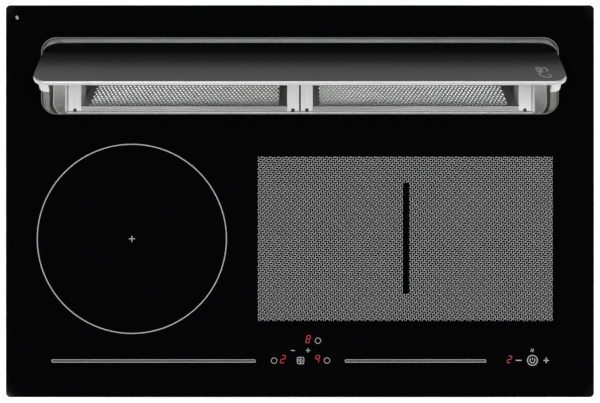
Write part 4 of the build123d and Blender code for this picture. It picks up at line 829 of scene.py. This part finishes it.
# the flexible zone: a grey field with a woven pattern of short black dashes, two upright and two
# level ones in each cell and again half a cell on, and a bar between its two halves
field = {"low": np.array([-55.9, -158.7]), "high": np.array([335.1, 58.9]), "pitch": 10.72,
         "dash": (2.1, 4.1), "upright": ((0.0, 0.0), (2.81, 2.27)), "level": ((1.18, -4.40), (4.18, -1.74)),
         "least": 0.3, "top": 0.02, "bar": (140.6, -49.2), "barSize": (8.5, 147.0), "barTop": 0.04}
glassTop, fieldLow, fieldHigh = hob["glassTop"], field["low"], field["high"]
base = flatBoxes([(fieldLow + fieldHigh) / 2], [fieldHigh - fieldLow], printLow, glassTop + field["top"])
newPiece("flex_zone_field", [base], fieldInk, "hob")
cells = [np.arange(-1, size / field["pitch"] + 2) for size in fieldHigh - fieldLow]
lattice = np.stack([g.ravel() for g in np.meshgrid(*cells, indexing="ij")], -1) * field["pitch"]
lattice = np.concatenate([lattice, lattice + field["pitch"] / 2]) + fieldLow
dashLow, dashHigh = [], []
for places, size in ((field["upright"], field["dash"]), (field["level"], field["dash"][::-1])):
    dashCentres = (lattice[:, None] + np.array(places)).reshape(-1, 2)
    dashLow.append(np.clip(dashCentres - np.array(size) / 2, fieldLow, fieldHigh))
    dashHigh.append(np.clip(dashCentres + np.array(size) / 2, fieldLow, fieldHigh))
dashLow, dashHigh = np.concatenate(dashLow), np.concatenate(dashHigh)
inside = np.all(dashHigh - dashLow > field["least"], axis=1)
dashes = flatBoxes((dashLow + dashHigh)[inside] / 2, (dashHigh - dashLow)[inside], glassTop, printTop)
bar = flatBoxes([field["bar"]], [field["barSize"]], glassTop, glassTop + field["barTop"])
newPiece("flex_zone_weave", [dashes, bar], blackGlass, "hob")

# slider lines either side of the digits: two level lines, joined at both ends
slider = {"spans": ((-328.7, -59.3), (60.2, 246.3)), "lines": ((-210.3, 0.9), (-213.3, 1.0)), "endLine": 0.9}
sliders = []
for span in slider["spans"]:
    sliders += [mark([(span[0], y), (span[1], y)], width) for y, width in slider["lines"]]
    sliders += [mark([(x, y) for y, width in slider["lines"]], slider["endLine"]) for x in span]
newPiece("slider_lines", sliders, greyInk, "hob")

# touch symbols: circles, minus and plus signs, a bridge, a standby sign and a small fan
touch = {"circles": ((23.9, -184.9), (-34.3, -211.3), (35.8, -211.2)), "circleRadius": 3.7,
         "minus": ((-9.4, -197.9, 2.8, 0.9), (289.9, -211.0, 3.7, 1.2)),
         "plus": ((10.7, -197.9, 2.8, 0.9), (326.4, -211.0, 3.6, 1.2)),
         "bridge": np.array([0.8, -211.2]), "square": (4.3, 1.6), "middle": 3.6, "bracket": (1.1, 2.2),
         "standby": np.array([308.2, -211.0]), "ring": 6.6, "openRing": (3.2, 125, 415),
         "stem": (0.6, 3.6), "standbyLine": 1.0, "fan": np.array([308.1, -197.6]), "bladeAngle": 25,
         "blade": (0.4, 1.9), "bladeEnd": (2.5, 0.8), "speck": np.array([-374.9, 243.4]),
         "speckRadii": (1.1, 2.0), "speckTurn": (0.85, 0.53)}
signs = [circleMark(place, touch["circleRadius"]) for place in touch["circles"]]
for x, y, half, width in touch["minus"] + touch["plus"]:
    signs.append(mark([(x - half, y), (x + half, y)], width))
for x, y, half, width in touch["plus"]:
    signs += [mark([(x, y + k * width / 2), (x, y + k * half)], width) for k in (1, -1)]
# the bridge: a rounded square, counter-clockwise from its lower right corner, a bar down its
# middle and a bracket either side
side, corner = touch["square"]
square = np.concatenate([arc((x * (side - corner), y * (side - corner)), corner, start, start + 90, 5)
                         for x, y, start in ((1, -1, -90), (1, 1, 0), (-1, 1, 90), (-1, -1, 180))])
signs.append(mark(square + touch["bridge"], 0.8, True))
signs.append(mark([touch["bridge"] + (0, k * touch["middle"]) for k in (-1, 1)], 0.9))
near, far = touch["bracket"]
for k in (-1, 1):
    bracket = np.array([(k * near, far), (k * far, near), (k * far, -near), (k * near, -far)])
    signs.append(mark(touch["bridge"] + bracket, 0.7))
# the standby sign: a ring round an open ring with a short bar
signs.append(circleMark(touch["standby"], touch["ring"], 1.1))
signs.append(mark(arc(touch["standby"], *touch["openRing"], 33), touch["standbyLine"]))
signs.append(mark([touch["standby"] + (0, y) for y in touch["stem"]], touch["standbyLine"]))
for k in range(4):
    # a fan blade: a short stroke outwards that bends to one side
    turn = math.radians(90 * k + touch["bladeAngle"])
    out = np.array([math.cos(turn), math.sin(turn)])
    reach, bend = touch["bladeEnd"]
    blade = [k * out for k in touch["blade"]] + [reach * out + bend * out[::-1] * (-1, 1)]
    signs.append(mark(np.array(blade) + touch["fan"], 0.8))
# a small slanted ring in the rear left corner
speck = arc((0, 0), 1.0, 0, 360, 25)[:-1] * touch["speckRadii"]
c, k = touch["speckTurn"]
signs.append(mark(speck @ np.array([(c, k), (-k, c)]) + touch["speck"], 1.2, True))
newPiece("touch_symbols", signs, greyInk, "hob")

# seven-segment digits, slanted: segment ends on a grid of width 1 and height 2
segments = {"a": ((0, 2), (1, 2)), "b": ((1, 2), (1, 1)), "c": ((1, 1), (1, 0)), "d": ((0, 0), (1, 0)),
            "e": ((0, 1), (0, 0)), "f": ((0, 2), (0, 1)), "g": ((0, 1), (1, 1))}
digit = {"segments": {2: "abged", 8: "abcdefg", 9: "abcfg"}, "slant": 0.22, "gap": 0.45,
         "places": ((8, 10.8, -182.8, 9.6, 4.6), (2, -22.5, -209.4, 9.8, 5.2), (9, 23.0, -209.2, 9.2, 4.8),
                    (2, 277.8, -209.7, 8.8, 4.6))}
litParts = []
for value, x, y, tall, wide in digit["places"]:
    for letter in digit["segments"][value]:
        grid = np.array(segments[letter])
        up = (grid[:, 1] / 2 - 0.5) * tall
        ends = np.stack([x + (grid[:, 0] - 0.5) * wide + digit["slant"] * up, y + up], -1)
        run = (ends[1] - ends[0]) / np.linalg.norm(ends[1] - ends[0])
        litParts.append(mark([ends[0] + digit["gap"] * run, ends[1] - digit["gap"] * run]))
newPiece("lit_digits", litParts, redLight, "hob")

# a pointing hand beside the ring it touches, printed on the flap
hand = {"line": 0.75, "low": 7.48, "top": 7.53}


def ellipseArc(centre, radii, tilt, start, end):
    # part of an ellipse, turned by tilt about its centre; all angles in degrees
    points = arc((0, 0), 1.0, start, end, 25) * radii
    c, k = math.cos(math.radians(tilt)), math.sin(math.radians(tilt))
    return points @ np.array([(c, k), (-k, c)]) + centre


handLines = [ellipseArc((307.2, -48.6), (3.0, 5.5), 0, 60, 350),
             ellipseArc((309.3, -48.6), (1.7, 3.2), 0, -20, 200),
             [(311.0, -50.0), (312.2, -54.4)], [(307.6, -49.8), (309.6, -57.0)],
             ellipseArc((314.9, -50.2), (3.2, 5.5), 0, -50, 150),
             ellipseArc((313.1, -62.2), (8.0, 4.6), -32, 130, 430)]
handStrokes = [onFlap(stroke(line, hand["line"], hand["low"], hand["top"])) for line in handLines]
newPiece("flap_touch_symbol", handStrokes, greyInk, "flap")
print("prints: done")

# studio: white paper floor, and a tent with a dark opening right above, a bright ring round it, a
# dark band below that and pale walls; stops are the sine of the height angle and the brightness
studio = {"floorReach": 30.0, "paper": "#f0f0f0", "paperGlow": 0.3, "tentStrength": 3.3,
          "tent": ((0.0, 0.32), (0.22, 0.31), (0.28, 0.05), (0.5, 0.07), (0.7, 0.2), (0.77, 0.86),
                   (0.905, 1.0), (0.935, 0.0))}
reach = studio["floorReach"]
floorMesh = bpy.data.meshes.new("floor")
corners = [(x * reach, y * reach, cadLow.z) for x, y in ((-1, -1), (1, -1), (1, 1), (-1, 1))]
floorMesh.from_pydata(corners, [], [(0, 1, 2, 3)])
floor = placed("floor", floorMesh)
paper = bpy.data.materials.new("whiteStudioPaper")
paper.use_nodes = True
tree = paper.node_tree
tree.nodes.clear()
matt = addNode(tree, "BsdfDiffuse", {"Color": linearColour(studio["paper"])})
rays = addNode(tree, "LightPath")
# the paper also glows a little for what the camera, gloss and clear pieces see of it
seen = rays.outputs["Is Camera Ray"]
for kind in ("Is Glossy Ray", "Is Transmission Ray"):
    seen = addNode(tree, "Math", {"operation": "ADD", "use_clamp": True},
                   {0: seen, 1: rays.outputs[kind]}).outputs[0]
strength = addNode(tree, "Math", {"operation": "MULTIPLY", 1: studio["paperGlow"]}, {0: seen})
glow = addNode(tree, "Emission", {"Color": linearColour("#ffffff")}, {"Strength": strength.outputs[0]})
both = addNode(tree, "AddShader", None, {0: matt.outputs[0], 1: glow.outputs[0]})
addNode(tree, "OutputMaterial", None, {"Surface": both.outputs[0]})
floorMesh.materials.append(paper)

world = bpy.data.worlds.new("studioTent")
bpy.context.scene.world = world
world.use_nodes = True
tree = world.node_tree
tree.nodes.clear()
direction = addNode(tree, "TexCoord").outputs["Generated"]
upward = addNode(tree, "SeparateXYZ", None, {"Vector": direction}).outputs["Z"]
tent = addNode(tree, "ValToRGB", {"stops": studio["tent"]}, {"Fac": upward})
sky = addNode(tree, "Background", {"Strength": studio["tentStrength"]}, {"Color": tent.outputs["Color"]})
addNode(tree, "OutputWorld", None, {"Surface": sky.outputs[0]})

# soft lamps: place in metres, size and power
lamps = {"keyLamp": ((-0.9, -1.1, 1.5), 0.9, 2.4), "fillLamp": ((1.8, -0.4, 1.4), 0.9, 2.4),
         "rearLamp": ((0.2, 1.7, 1.3), 0.9, 1.4), "frontLamp": ((0.0, -2.3, 0.55), 1.8, 6.5)}
for name, (place, size, power) in lamps.items():
    light = bpy.data.lights.new(name, "AREA")
    light.size = size
    light.energy = power
    lamp = placed(name, light)
    lamp.location = place
    lamp.rotation_mode = "QUATERNION"
    lamp.rotation_quaternion = (-Vector(place)).to_track_quat("-Z", "Y")

view = {"lens": 55.13, "sensor": 36.0, "place": (0.0001, -0.0004, 1.224)}  # straight down
cameraData = bpy.data.cameras.new("overheadCamera")
cameraData.lens = view["lens"]
cameraData.sensor_width = view["sensor"]
camera = placed("overheadCamera", cameraData)
camera.location = view["place"]
camera.rotation_euler = (0.0, 0.0, 0.0)
bpy.context.scene.camera = camera
bpy.context.scene.view_settings.view_transform = "Standard"
print("stage: done")
